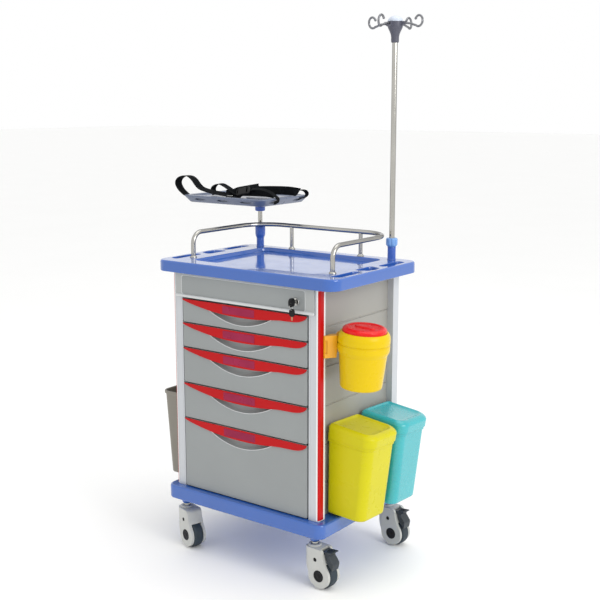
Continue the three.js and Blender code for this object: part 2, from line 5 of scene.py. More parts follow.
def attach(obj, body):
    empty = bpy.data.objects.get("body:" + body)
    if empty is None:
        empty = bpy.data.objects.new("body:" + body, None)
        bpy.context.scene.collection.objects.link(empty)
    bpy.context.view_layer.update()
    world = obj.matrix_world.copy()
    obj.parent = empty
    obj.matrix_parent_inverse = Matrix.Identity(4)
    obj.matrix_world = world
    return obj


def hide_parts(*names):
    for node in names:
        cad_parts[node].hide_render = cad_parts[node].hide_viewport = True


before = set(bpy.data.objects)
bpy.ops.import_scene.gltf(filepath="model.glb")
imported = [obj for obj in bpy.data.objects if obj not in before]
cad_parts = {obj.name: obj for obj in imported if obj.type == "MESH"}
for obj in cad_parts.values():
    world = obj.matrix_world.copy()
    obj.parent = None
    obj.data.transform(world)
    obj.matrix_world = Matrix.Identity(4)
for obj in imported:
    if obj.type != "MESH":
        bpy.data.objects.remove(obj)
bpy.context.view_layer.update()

OX, OY, FL = -48.389, 39.75, 6.0          # shift between the design axes of the trolley (mm) and the row frame
SC = 0.001


def W(x, y, z):
    return Vector(((x - OX) * SC, (y - OY) * SC, (z - FL) * SC))


def lin(h):
    h = h.lstrip("#")
    c = [int(h[i:i + 2], 16) / 255 for i in (0, 2, 4)]
    return tuple(((v + 0.055) / 1.055) ** 2.4 if v > 0.04045 else v / 12.92 for v in c) + (1.0,)


# ------------------------------------------------------------------ materials
def material(name, col, rough=0.4, metal=0.0, coat=0.0, coat_rough=0.08, var=0.05, vscale=5.0, rvar=0.05, rscale=40.0,
             bump=0.12, bscale=700.0, bdist=0.0002, ior=1.5, stretch=None, wear=0.0, wear_col="#ffffff", weave=None, speck=0.0, painted_rim_reflection=None):
    m = bpy.data.materials.new(name)
    m.use_nodes = True
    N, L = m.node_tree.nodes, m.node_tree.links
    b = N["Principled BSDF"]
    b.inputs["Metallic"].default_value = metal
    b.inputs["IOR"].default_value = ior
    b.inputs["Coat Weight"].default_value = coat
    b.inputs["Coat Roughness"].default_value = coat_rough
    c = lin(col)
    tc = N.new("ShaderNodeTexCoord")
    src = tc.outputs["Object"]
    if stretch:
        mp = N.new("ShaderNodeMapping")
        mp.inputs["Scale"].default_value = stretch
        L.new(src, mp.inputs["Vector"])
        fine = mp.outputs["Vector"]
    else:
        fine = src

    def noise(vec, scale, detail=3.0, rough_=0.55):
        n = N.new("ShaderNodeTexNoise")
        n.inputs["Scale"].default_value = scale
        n.inputs["Detail"].default_value = detail
        n.inputs["Roughness"].default_value = rough_
        L.new(vec, n.inputs["Vector"])
        return n.outputs["Fac"]

    def remap(sock, a, b_, lo=0.3, hi=0.7):
        r = N.new("ShaderNodeMapRange")
        r.inputs["From Min"].default_value = lo
        r.inputs["From Max"].default_value = hi
        r.inputs["To Min"].default_value = a
        r.inputs["To Max"].default_value = b_
        L.new(sock, r.inputs["Value"])
        return r.outputs["Result"]

    def mix(fac, a, b_):
        x = N.new("ShaderNodeMix")
        x.data_type = "RGBA"
        ins = [i for i in x.inputs if i.type == "RGBA"]
        L.new(fac, [i for i in x.inputs if i.type == "VALUE"][0])
        for sock, v in zip(ins, (a, b_)):
            if isinstance(v, tuple):
                sock.default_value = v
            else:
                L.new(v, sock)
        return [o for o in x.outputs if o.type == "RGBA"][0]

    dark = tuple(v * (1 - var) for v in c[:3]) + (1,)
    light = tuple(min(1, v * (1 + var) + var * 0.02) for v in c[:3]) + (1,)
    colour = mix(remap(noise(src, vscale), 0, 1), dark, light)
    if speck:
        colour = mix(remap(noise(fine, bscale * 0.6, 1.0), 0, speck, 0.55, 0.75), colour, tuple(v * 0.6 for v in c[:3]) + (1,))
    if wear:
        geo = N.new("ShaderNodeNewGeometry")
        p = remap(geo.outputs["Pointiness"], 0, wear, 0.52, 0.58)
        colour = mix(p, colour, lin(wear_col))
    if painted_rim_reflection:               # painted reflection: the rim of a shiny tube is darkened in its colour to stand for the dark side of the room that it mirrors
        lw = N.new("ShaderNodeLayerWeight")
        lw.inputs["Blend"].default_value = 0.5
        colour = mix(remap(lw.outputs["Facing"], 0, 0.85, 0.25, 0.85), colour, lin(painted_rim_reflection))
    L.new(colour, b.inputs["Base Color"])
    L.new(remap(noise(fine, rscale, 4.0), max(0.02, rough - rvar), min(1, rough + rvar)), b.inputs["Roughness"])
    bp = N.new("ShaderNodeBump")
    bp.inputs["Strength"].default_value = bump
    bp.inputs["Distance"].default_value = bdist
    if weave:
        wv = N.new("ShaderNodeTexWave")
        wv.bands_direction = weave[0]
        wv.inputs["Scale"].default_value = weave[1]
        wv.inputs["Distortion"].default_value = 0.6
        wv.inputs["Detail Scale"].default_value = 3.0
        L.new(src, wv.inputs["Vector"])
        wx = N.new("ShaderNodeTexWave")
        wx.bands_direction = "Z"
        wx.inputs["Scale"].default_value = weave[1] * 0.7
        L.new(src, wx.inputs["Vector"])
        ad = N.new("ShaderNodeMath")
        ad.operation = "ADD"
        L.new(wv.outputs["Fac"], ad.inputs[0])
        L.new(wx.outputs["Fac"], ad.inputs[1])
        L.new(ad.outputs[0], bp.inputs["Height"])
    else:
        L.new(noise(fine, bscale, 2.0), bp.inputs["Height"])
    L.new(bp.outputs["Normal"], b.inputs["Normal"])
    return m


M = {
    "blue": material("plastic_blue", "#2a5cae", 0.20, coat=0.8, coat_rough=0.05, var=0.04, bump=0.006, bscale=260, rscale=18),
    "blue_dark": material("plastic_blue_fittings", "#3560b8", 0.28, coat=0.3, var=0.06, bump=0.03, bscale=500),
    "blue_light": material("plastic_blue_nut", "#6d9cd6", 0.26, coat=0.4, var=0.06, bump=0.03, bscale=500),
    "silver": material("column_silver", "#c3c6ca", 0.32, metal=0.15, var=0.03, bump=0.03, bscale=900, stretch=(1, 1, 0.05), rvar=0.05),
    "white": material("trim_white", "#e9ebea", 0.4, var=0.02, bump=0.03),
    "red": material("handle_red", "#b8060c", 0.34, ior=1.28, var=0.04, bump=0.008, bscale=300),
    "label": material("label_mauve", "#961742", 0.30, ior=1.32, var=0.12, vscale=18, bump=0.02),
    "panel": material("panel_grey", "#9c9a94", 0.40, var=0.04, bump=0.05, bscale=700, bdist=0.00012, rvar=0.06),
    "front": material("drawer_grey", "#909494", 0.36, coat=0.10, var=0.03, bump=0.05, bscale=700, bdist=0.00012, rvar=0.05),
    "frame": material("frame_grey", "#a6a9a8", 0.34, coat=0.15, var=0.03, bump=0.04, bscale=700, bdist=0.00012, rvar=0.05),
    # painted highlight: a lighter grey for the fascia bead, fascia lip and scoop lips, standing for the highlight lines
    # along those edges
    "painted_highlight": material("painted_highlight_grey", "#c9cccc", 0.30, coat=0.25, var=0.02, bump=0.03, bscale=500, rvar=0.04),
    "scoop": material("scoop_grey", "#8b8e8e", 0.34, coat=0.15, var=0.03, bump=0.04, bscale=600, rvar=0.05),
    "tray": material("tray_grey", "#b9bcbc", 0.5, var=0.04, bump=0.08, bscale=700),
    # chrome, rail steel and hook steel carry a painted rim reflection: their rims are darkened in colour
    "chrome": material("lock_chrome", "#b4b4b0", 0.18, metal=1.0, var=0.04, bump=0.02, rvar=0.05, painted_rim_reflection="#3c3d40"),
    "steel": material("rail_steel", "#b9b7b1", 0.17, metal=1.0, var=0.06, vscale=12, bump=0.02, bscale=900, rvar=0.05, painted_rim_reflection="#3a3b3f"),
    "hook": material("hook_steel", "#85868a", 0.24, metal=1.0, var=0.06, vscale=20, bump=0.02, bscale=900, rvar=0.05, painted_rim_reflection="#34353a"),
    "black": material("plastic_black", "#08090b", 0.5, ior=1.35, var=0.10, bump=0.06, bscale=900),
    "hub": material("hub_grey", "#4d4e5b", 0.42, var=0.08, bump=0.05, bscale=700),
    "cap": material("cap_white", "#c3cbd9", 0.3, coat=0.4, var=0.04, bump=0.03),
    "shelf": material("shelf_pale_blue", "#646e84", 0.30, coat=0.35, coat_rough=0.08, var=0.08, vscale=7, bump=0.03, bscale=500),
    "web": material("webbing_black", "#0a0d10", 0.9, ior=1.2, var=0.3, vscale=220, rvar=0.08, bump=0.5, bdist=0.0003, weave=("X", 420)),
    "sharps": material("sharps_yellow", "#d8b800", 0.30, ior=1.28, coat=0.05, coat_rough=0.12, var=0.03, bump=0.003, bscale=260),
    "bracket": material("bracket_yellow", "#e0a012", 0.32, coat=0.2, coat_rough=0.1, var=0.05, bump=0.03, bscale=260),
    "lidred": material("lid_red", "#dc1410", 0.28, ior=1.36, coat=0.06, coat_rough=0.1, var=0.04, vscale=14, bump=0.01, bscale=260),
    "yellow": material("bin_yellow", "#cac20c", 0.30, ior=1.30, coat=0.05, coat_rough=0.14, var=0.03, bump=0.003, bscale=240),
    "teal": material("bin_teal", "#2caab2", 0.26, coat=0.5, coat_rough=0.08, var=0.04, bump=0.003, bscale=240),
    # painted shade: the tub colour is darkened to stand for the shade the tub stands in
    "tub": material("tub_beige", "#858177", 0.5, var=0.05, bump=0.08, bscale=500),
    "housing": material("caster_grey", "#bdbeba", 0.38, coat=0.12, var=0.05, vscale=14, bump=0.05, bscale=700),
    "tyre": material("tyre_slate", "#25323b", 0.6, var=0.12, vscale=40, bump=0.15, bscale=700, rvar=0.08),
    "pedal": material("pedal_slate", "#232c33", 0.42, coat=0.1, var=0.1, vscale=25, bump=0.1, bscale=700),
    # painted shade: near-black for the floor of the shallow pin holes in the caster forks
    "hole": material("recess_painted_shade", "#050606", 0.7, var=0.2, bump=0.05),
    "gold": material("key_metal", "#b98d6e", 0.3, metal=1.0, var=0.05, bump=0.03),
}


# ------------------------------------------------------------------ geometry in millimetres
def rr(w, d, r, cx=0.0, cy=0.0, n=10):
    pts = []
    for sx, sy, a0 in ((1, -1, -90), (1, 1, 0), (-1, 1, 90), (-1, -1, 180)):
        for i in range(n + 1):
            a = math.radians(a0 + 90 * i / n)
            pts.append((cx + sx * (w / 2 - r) + r * math.cos(a), cy + sy * (d / 2 - r) + r * math.sin(a)))
    return pts


def rr4(x0, x1, y0, y1, ri, ro, n=10):
    """Outline with radius ri on the x0 side and ro on the x1 side."""
    pts = []
    for px, py, r, a0, cx, cy in ((x1, y0, ro, -90, x1 - ro, y0 + ro), (x1, y1, ro, 0, x1 - ro, y1 - ro),
                                  (x0, y1, ri, 90, x0 + ri, y1 - ri), (x0, y0, ri, 180, x0 + ri, y0 + ri)):
        for i in range(n + 1):
            a = math.radians(a0 + 90 * i / n)
            pts.append((cx + r * math.cos(a), cy + r * math.sin(a)))
    return pts


def circle(r, n=48, cx=0.0, cy=0.0):
    return [(cx + r * math.cos(2 * math.pi * i / n), cy + r * math.sin(2 * math.pi * i / n)) for i in range(n)]


def stack(levels, caps=True):
    n = len(levels[0][0])
    v = [(x, y, z) for pts, z in levels for x, y in pts]
    f = []
    for k in range(len(levels) - 1):
        for i in range(n):
            j = (i + 1) % n
            f.append((k * n + i, k * n + j, k * n + n + j, k * n + n + i))
    if caps:
        f.append(tuple(reversed(range(n))))
        o = (len(levels) - 1) * n
        f.append(tuple(range(o, o + n)))
    return v, f


def shell(outer, inner):
    """Open-topped vessel: outer levels upwards, inner levels upwards, joined at the rim."""
    lv = outer + list(reversed(inner))
    return stack(lv)


def prism(pts, z0, z1):
    return stack([(pts, z0), (pts, z1)])


def swap_y(data):
    return [(x, z, y) for x, y, z in data[0]], data[1]


def stack_y(levels):      # outlines in X,Z stacked along Y
    return swap_y(stack(levels))


def prism_y(pts, y0, y1):
    return stack_y([(pts, y0), (pts, y1)])


def prism_x(pts, x0, x1):  # outline in Y,Z pulled along X
    v, f = stack([(pts, x0), (pts, x1)])
    return [(z, x, y) for x, y, z in v], f


def boxd(x0, x1, y0, y1, z0, z1):
    return prism([(x0, y0), (x1, y0), (x1, y1), (x0, y1)], z0, z1)


def lathe(prof, n=64, cx=0.0, cy=0.0, loop=False):
    v, f, rows = [], [], []
    for r, z in prof:
        if r < 1e-6 and not loop:
            rows.append([len(v)])
            v.append((cx, cy, z))
        else:
            rows.append(list(range(len(v), len(v) + n)))
            v += [(cx + r * math.cos(2 * math.pi * i / n), cy + r * math.sin(2 * math.pi * i / n), z) for i in range(n)]
    pairs = list(zip(rows, rows[1:])) + ([(rows[-1], rows[0])] if loop else [])
    for a, b in pairs:
        for i in range(n):
            j = (i + 1) % n
            if len(a) == 1 and len(b) == 1:
                break
            if len(a) == 1:
                f.append((a[0], b[j], b[i]))
            elif len(b) == 1:
                f.append((a[i], a[j], b[0]))
            else:
                f.append((a[i], a[j], b[j], b[i]))
    return v, f


def arc3(c, u, v, r, a0, a1, n):
    return [c + u * (r * math.cos(math.radians(a0 + (a1 - a0) * i / n))) + v * (r * math.sin(math.radians(a0 + (a1 - a0) * i / n))) for i in range(n + 1)]


def tube(path, r, n=20, ends=True, closed=False, up=None):
    P = [Vector(p) for p in path]
    m = len(P)
    v, f = [], []
    ref = None
    for i, p in enumerate(P):
        a = P[(i - 1) % m] if (closed or i) else P[0]
        b = P[(i + 1) % m] if (closed or i < m - 1) else P[-1]
        t = (b - a).normalized()
        if ref is None:
            ref = Vector(up) if up else (Vector((0, 0, 1)) if abs(t.z) < 0.9 else Vector((1, 0, 0)))
        s = ref - t * ref.dot(t)
        s.normalize()
        ref = s
        q = t.cross(s)
        w = 1.0
        if 0 < i < m - 1 or closed:
            d0, d1 = (p - a).normalized(), (b - p).normalized()
            w = 1 / max(0.6, math.cos(d0.angle(d1, 0) / 2))
        for k in range(n):
            an = 2 * math.pi * k / n
            v.append(p + s * (r * math.cos(an)) + q * (r * math.sin(an)))
    for i in range(m if closed else m - 1):
        for k in range(n):
            k2, i2 = (k + 1) % n, (i + 1) % m
            f.append((i * n + k, i * n + k2, i2 * n + k2, i2 * n + k))
    if ends and not closed:
        f.append(tuple(reversed(range(n))))
        f.append(tuple(range((m - 1) * n, m * n)))
    return [tuple(p) for p in v], f


def xf(data, fn):
    return [tuple(fn(Vector(p))) for p in data[0]], data[1]


def rot_about(ax, deg, pivot):
    R = Matrix.Rotation(math.radians(deg), 3, ax)
    pv = Vector(pivot)
    return lambda p: R @ (p - pv) + pv


def smooth_line(pts, sub=6, closed=False):
    """Catmull-Rom through 2-D or 3-D points."""
    P = [Vector(p) for p in pts]
    out = []
    n = len(P)
    for i in range(n if closed else n - 1):
        p0 = P[(i - 1) % n] if (closed or i) else P[0]
        p1, p2 = P[i], P[(i + 1) % n]
        p3 = P[(i + 2) % n] if (closed or i + 2 < n) else P[-1]
        for k in range(sub):
            t = k / sub
            out.append(0.5 * ((2 * p1) + (p2 - p0) * t + (2 * p0 - 5 * p1 + 4 * p2 - p3) * t * t + (3 * p1 - p0 - 3 * p2 + p3) * t ** 3))
    if not closed:
        out.append(P[-1])
    return out


# ------------------------------------------------------------------ turning data into pieces
def temp(data):
    me = bpy.data.meshes.new("t")
    me.from_pydata([tuple(p) for p in data[0]], [], [tuple(q) for q in data[1]])
    bm = bmesh.new()
    bm.from_mesh(me)
    bmesh.ops.remove_doubles(bm, verts=bm.verts, dist=1e-4)
    bmesh.ops.recalc_face_normals(bm, faces=bm.faces)
    bm.to_mesh(me)
    bm.free()
    o = bpy.data.objects.new("t", me)
    bpy.context.scene.collection.objects.link(o)
    return o


def evaluated(o):
    bpy.context.view_layer.update()
    dg = bpy.context.evaluated_depsgraph_get()
    me = bpy.data.meshes.new_from_object(o.evaluated_get(dg))
    return me


def drop(*objs):
    for o in objs:
        me = o.data
        bpy.data.objects.remove(o)
        if me.users == 0:
            bpy.data.meshes.remove(me)


def combine(a, parts, op="DIFFERENCE"):
    """Boolean of temp object a with geometry tuples or temp objects."""
    for p in parts:
        b = p if isinstance(p, bpy.types.Object) else temp(p)
        m = a.modifiers.new("b", "BOOLEAN")
        m.operation = op
        m.solver = "EXACT"
        m.object = b
        me = evaluated(a)
        old = a.data
        a.modifiers.clear()
        a.data = me
        bpy.data.meshes.remove(old)
        drop(b)
    return a


def from_cad(node):
    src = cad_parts[node].data
    me = src.copy()
    me.materials.clear()
    bm = bmesh.new()
    bm.from_mesh(me)
    bmesh.ops.remove_doubles(bm, verts=bm.verts, dist=2e-6)
    bmesh.ops.dissolve_limit(bm, angle_limit=math.radians(0.6), verts=bm.verts, edges=bm.edges, delimit=set())
    for v in bm.verts:
        p = v.co
        v.co = (p.x / SC + OX, p.y / SC + OY, p.z / SC + FL)
    bmesh.ops.recalc_face_normals(bm, faces=bm.faces)
    bm.to_mesh(me)
    bm.free()
    o = bpy.data.objects.new("t", me)
    bpy.context.scene.collection.objects.link(o)
    return o


PIECES = []


def piece(name, data, body, mat, bev=0.0, seg=3, ang=30.0, replaces=(), sharp=50.0, weighted=True, pick=None, mats=None):
    o = data if isinstance(data, bpy.types.Object) else temp(data)
    if bev:
        bm = bmesh.new()
        bm.from_mesh(o.data)
        bmesh.ops.dissolve_limit(bm, angle_limit=math.radians(0.3), verts=bm.verts, edges=bm.edges, delimit=set())
        bm.to_mesh(o.data)
        bm.free()
        m = o.modifiers.new("bev", "BEVEL")
        m.width = bev
        m.segments = seg
        m.limit_method = "ANGLE"
        m.angle_limit = math.radians(ang)
        m.use_clamp_overlap = True
        m.miter_outer = "MITER_ARC"
        me = evaluated(o)
    else:
        me = o.data.copy()
    drop(o)
    bm = bmesh.new()
    bm.from_mesh(me)
    bmesh.ops.remove_doubles(bm, verts=bm.verts, dist=1e-4)
    bmesh.ops.dissolve_degenerate(bm, dist=1e-4, edges=bm.edges)
    for v in bm.verts:
        v.co = W(*v.co)
    for f in bm.faces:
        f.smooth = True
    bm.to_mesh(me)
    bm.free()
    me.name = name
    me.materials.clear()
    me.materials.append(M[mat])
    for extra in mats or ():
        me.materials.append(M[extra])
    if pick:
        for p in me.polygons:
            p.material_index = pick(p)
    me.set_sharp_from_angle(angle=math.radians(sharp))
    ob = bpy.data.objects.new(name, me)
    bpy.context.scene.collection.objects.link(ob)
    if weighted:
        w = ob.modifiers.new("wn", "WEIGHTED_NORMAL")
        w.keep_sharp = True
        w.weight = 60
    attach(ob, body)
    if replaces:
        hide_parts(*([replaces] if isinstance(replaces, str) else replaces))
    PIECES.append(ob)
    return ob


X, Y, Z = Vector((1, 0, 0)), Vector((0, 1, 0)), Vector((0, 0, 1))
STEM = {"fl": (-248, -194, -17), "fr": (248, -194, -4), "rr": (253, 190, -5), "rl": (-253, 190, -12)}

# ------------------------------------------------------------------ base, columns, panels
BW, BD, BR = 590, 466, 27
lv = []
for z, i in ((158, 5), (159.2, 2.6), (161, 1.0), (164, 0), (195, 0), (198, 0.5), (200, 1.8), (201.3, 3.6), (202, 6.2)):
    lv.append((rr(BW - 2 * i, BD - 2 * i, BR - i, n=16), z))
base = combine(temp(stack(lv)), [prism(rr(BW - 150, BD - 60, 25), 150, 172)])
piece("base_board_body", base, "cart", "blue", replaces="base_board", sharp=35)
for k, (x, y, a) in STEM.items():
    piece(f"base_boss_{k}", lathe([(0, 160), (22, 160), (20.5, 158.5), (18.6, 157), (17.4, 154), (14.3, 142.5), (13.6, 140.6), (12.6, 140), (0, 140)], 48, x, y),
          "cart", "blue", sharp=60)


def column(sx, sy):
    x1, y1, r = (270, 211, 5) if sy > 0 else (270, 209, 9)
    x0, y0 = 235, 177
    pts = [(x0, y0), (x1, y0)]
    pts += [(x1 - r + r * math.cos(math.pi / 2 * i / 10), y1 - r + r * math.sin(math.pi / 2 * i / 10)) for i in range(11)]
    # a shallow drawn groove down the outer front or rear face
    pts += [(x0 + 6.2, y1), (x0 + 5.4, y1 - 1.0), (x0 + 4.2, y1 - 1.0), (x0 + 3.4, y1), (x0, y1)]
    return [(sx * x, sy * y) for x, y in pts]


for k, sx, sy in (("fl", -1, -1), ("fr", 1, -1), ("rl", -1, 1), ("rr", 1, 1)):
    piece(f"column_{k}_tube", prism(column(sx, sy), 202.3, 871.7), "cart", "silver", bev=0.7, seg=2, replaces=f"column_{k}", sharp=40)
for k, s in (("left", -1), ("right", 1)):
    def band(t0, t1, y_end, a0=-86):
        arc_ = [(261 + (9 + t) * math.cos(math.radians(a)), -200 + (9 + t) * math.sin(math.radians(a))) for t, seq in ((t1, range(a0, 1, 8)), (t0, range(0, a0 - 1, -8))) for a in seq]
        h = len(arc_) // 2
        q = arc_[:h] + [(270 + t1, -200), (270 + t1, y_end), (270 + t0, y_end), (270 + t0, -200)] + arc_[h:]
        return [(s * x, y) for x, y in q]
    piece(f"trim_{k}_strip", prism(band(0.3, 1.5, -187.4, -60), 206, 868), "cart", "red", bev=0.35, seg=2, replaces=f"trim_{k}")
    piece(f"trim_{k}_backing", prism(band(0.02, 0.8, -181.5), 205, 869), "cart", "white", bev=0.2, seg=2)


def side_panel(s):
    pts = [(242, 202.3), (250, 202.3)]
    for z in (300, 414, 528, 642, 756):
        pts += [(250, z - 2.4), (249.3, z - 2.2), (247.6, z - 1.6), (247.6, z + 0.8), (249.4, z + 2.0), (250, z + 2.8)]
    pts += [(250, 871.7), (242, 871.7)]
    return prism_y([(s * x, z) for x, z in pts], -176.7, 176.7)


DZ = [796, 722, 646, 535.5, 424.5, 204]
for k, s in (("left", -1), ("right", 1)):
    piece(f"side_panel_{k}_sheet", side_panel(s), "cart", "panel", bev=0.35, seg=2, replaces=f"side_panel_{k}", sharp=25)
    for i in range(5):
        z = DZ[i] - 20.6
        piece(f"side_panel_{k}_ledge{i + 1}", prism_y([(s * x, q) for x, q in ((242.5, z), (227, z), (227, z - 5), (242.5, z - 11))], -174, 174), "cart", "panel", bev=0.8, seg=2)
bk = temp(boxd(-234.7, 234.7, 199, 205, 202.3, 871.7))
piece("back_panel_sheet", bk, "cart", "panel", bev=1.0, seg=3, replaces="back_panel")
for ix in (-222, 0, 222):
    for iz in (222, 430, 640, 852):
        piece(f"back_screw_{ix + 222}_{iz}", xf(lathe([(0, 0), (4.2, 0), (4.2, 0.5), (3.2, 1.4), (1.4, 1.7), (1.2, 0.8), (0, 0.8)], 24), lambda p: Vector((ix + p.x, 204.9 + p.z, iz + p.y))), "cart", "chrome", sharp=40)

# ------------------------------------------------------------------ worktop
lv = []
for z, i in ((872, 1.8), (872.6, 0.8), (874, 0), (898, 0), (901, 0.3), (903.4, 1.2), (905, 2.7), (905.8, 4.6), (906, 7)):
    lv.append((rr(660 - 2 * i, 450 - 2 * i, 38 - i, n=18), z))
top = temp(stack(lv))
rec = []
for z, i in ((894, 3.4), (894.3, 1.8), (895.2, 0.5), (896.6, 0), (902, -1.0), (904.6, -2.4), (906, -4.6), (906.6, -6)):
    rec.append((rr(454 - 2 * i, 348 - 2 * i, 26 - i * 0.9, 0, 7, n=12), z))
cuts = [stack(rec)]
for s in (-1, 1):
    for pts in ([(284, -175), (296, -178), (313, -168), (315, -100), (308, -66), (296, -60), (284, -70)],
                [(272, -34), (280, -42), (312, -30), (318, 0), (312, 30), (280, 42), (272, 34)],
                [(284, 70), (296, 60), (308, 66), (315, 100), (313, 165), (296, 174), (284, 171)]):
        c = Vector((sum(p[0] for p in pts) / 7, sum(p[1] for p in pts) / 7))
        # rounded corners: sample the closed outline and relax it
        q = []
        for i in range(7):
            a, b, d = Vector(pts[i - 1]), Vector(pts[i]), Vector(pts[(i + 1) % 7])
            r0, r1 = b + (a - b).normalized() * min(6, (a - b).length * 0.4), b + (d - b).normalized() * min(6, (d - b).length * 0.4)
            for t in (0, 0.25, 0.5, 0.75, 1):
                q.append(r0 * (1 - t) ** 2 + b * 2 * t * (1 - t) + r1 * t * t)
        def scaled(f):
            o = [c + (p - c) * f for p in q]
            o = [(s * p.x, p.y) for p in o]
            return o if s > 0 else list(reversed(o))
        cuts.append(stack([(scaled(0.86), 884), (scaled(0.92), 884.8), (scaled(0.95), 887), (scaled(1.0), 902), (scaled(1.035), 905.2), (scaled(1.07), 907)]))
combine(top, cuts)
piece("worktop", top, "cart", "blue", replaces="tabletop", sharp=38)

# ------------------------------------------------------------------ fascia and lock
LX, LZ = 194, 832
f = temp(boxd(-234.5, 234.5, -209.6, -192, 799, 871.7))
piece("fascia_core", f, "cart", "front", bev=0.5, seg=2)
f = temp(boxd(-256, 256, -213.5, -209.3, 799, 871.7))
combine(f, [stack_y([(rr(459, 60, 9, -4, 835.5, 8), -215), (rr(459, 60, 9, -4, 835.5, 8), -213.6), (rr(456.6, 57.6, 8, -4, 835.5, 8), -212.2), (rr(455, 56, 7.5, -4, 835.5, 8), -211.6)]),
            prism_y(circle(9.3, 40, LX, LZ), -220, -200)])
piece("fascia_plate", f, "cart", "frame", bev=0.5, seg=2, ang=40, replaces="top_fascia", sharp=40)
inset = combine(temp(stack_y([(rr(457, 58, 8, -4, 835.5, 8), -211.5), (rr(456.2, 57.2, 7.8, -4, 835.5, 8), -212.2), (rr(452, 53, 6.5, -4, 835.5, 8), -212.3), (rr(448, 49, 5, -4, 835.5, 8), -212.4)])), [prism_y(circle(9.3, 40, LX, LZ), -220, -200)])
piece("fascia_inset", inset, "cart", "front", sharp=25)
# painted highlight: a thin light tube round the inset and the light-coloured fascia lip paint the highlight lines along
# these edges
bead = [(x, -213.2, z) for x, z in rr(459.6, 60.6, 9.2, -4, 835.5, 8)]
piece("fascia_highlight_bead", tube(bead, 1.0, 10, closed=True, up=(0, 1, 0)), "cart", "painted_highlight", sharp=70)
piece("fascia_lip", prism_x([(-213.3, 799), (-216.4, 799.2), (-217.6, 799.9), (-218, 801.4), (-217.9, 804.4), (-216.8, 806.4), (-213.3, 808.2)], -256, 256), "cart", "painted_highlight", bev=0.3, seg=2)
l = temp(lathe([(0, 0), (8.8, 0), (8.8, 23.6), (11.3, 23.8), (11.6, 24.6), (11.5, 26.2), (10.4, 27.2), (8.2, 27.4), (7.4, 26.8), (0, 26.8)], 48))
for v in l.data.vertices:
    p = v.co.copy()
    v.co = (LX + p.x, -188 - p.z, LZ + p.y)
combine(l, [prism_y(circle(4.95, 40, LX, LZ), -220, -190)])
piece("lock_barrel", l, "cart", "chrome", bev=0.25, seg=2, ang=50, replaces="lock_cylinder")
k = prism_x([(y, z) for y, z in rr(25, 25, 10, -233, LZ, 8)], LX - 3, LX + 3)
kb = combine(temp(k), [prism_x(circle(3.6, 20, -239.5, LZ), LX - 5, LX + 5)])
piece("key_bow", kb, "key", "black", bev=1.2, seg=3, replaces="lock_key")
plug = combine(temp(prism_y(circle(4.85, 40, LX, LZ), -214.4, -194.5)), [boxd(LX - 1.3, LX + 1.3, -217, -195.5, LZ - 4.2, LZ + 4.2)])
piece("key_plug", plug, "key", "chrome", bev=0.25, seg=2, ang=50)
piece("key_blade", boxd(LX - 1.1, LX + 1.1, -222, -196, LZ - 4, LZ + 4), "key", "chrome", bev=0.3, seg=2)
# ring through the bow, and a second key hanging on it below the lock
ring = [Vector((LX + 2 - 2.6 * math.sin(t), -239.3 + 5.2 * math.cos(t), LZ - 10 + 10.4 * math.sin(t))) for t in [2 * math.pi * i / 40 for i in range(40)]]
piece("key_ring", tube(ring, 0.7, 10, closed=True), "cart", "chrome")
fob = prism_y(rr(17, 22, 7.5, LX + 6, LZ - 27, 8), -241.5, -236.5)
fb = combine(temp(fob), [prism_y(circle(2.6, 20, LX + 4.2, LZ - 19.6), -245, -230)])
piece("spare_key_bow", fb, "cart", "black", bev=1.2, seg=3)
bl = [(LX + 3.2, LZ - 37), (LX + 3.2, LZ - 46), (LX + 4.6, LZ - 48.6), (LX + 6.4, LZ - 49.4), (LX + 8.6, LZ - 47.4), (LX + 7.8, LZ - 45), (LX + 9, LZ - 43), (LX + 8, LZ - 41), (LX + 9, LZ - 39), (LX + 9, LZ - 37)]
piece("spare_key_blade", prism_y(bl, -239.9, -238.1), "cart", "gold", bev=0.3, seg=2)

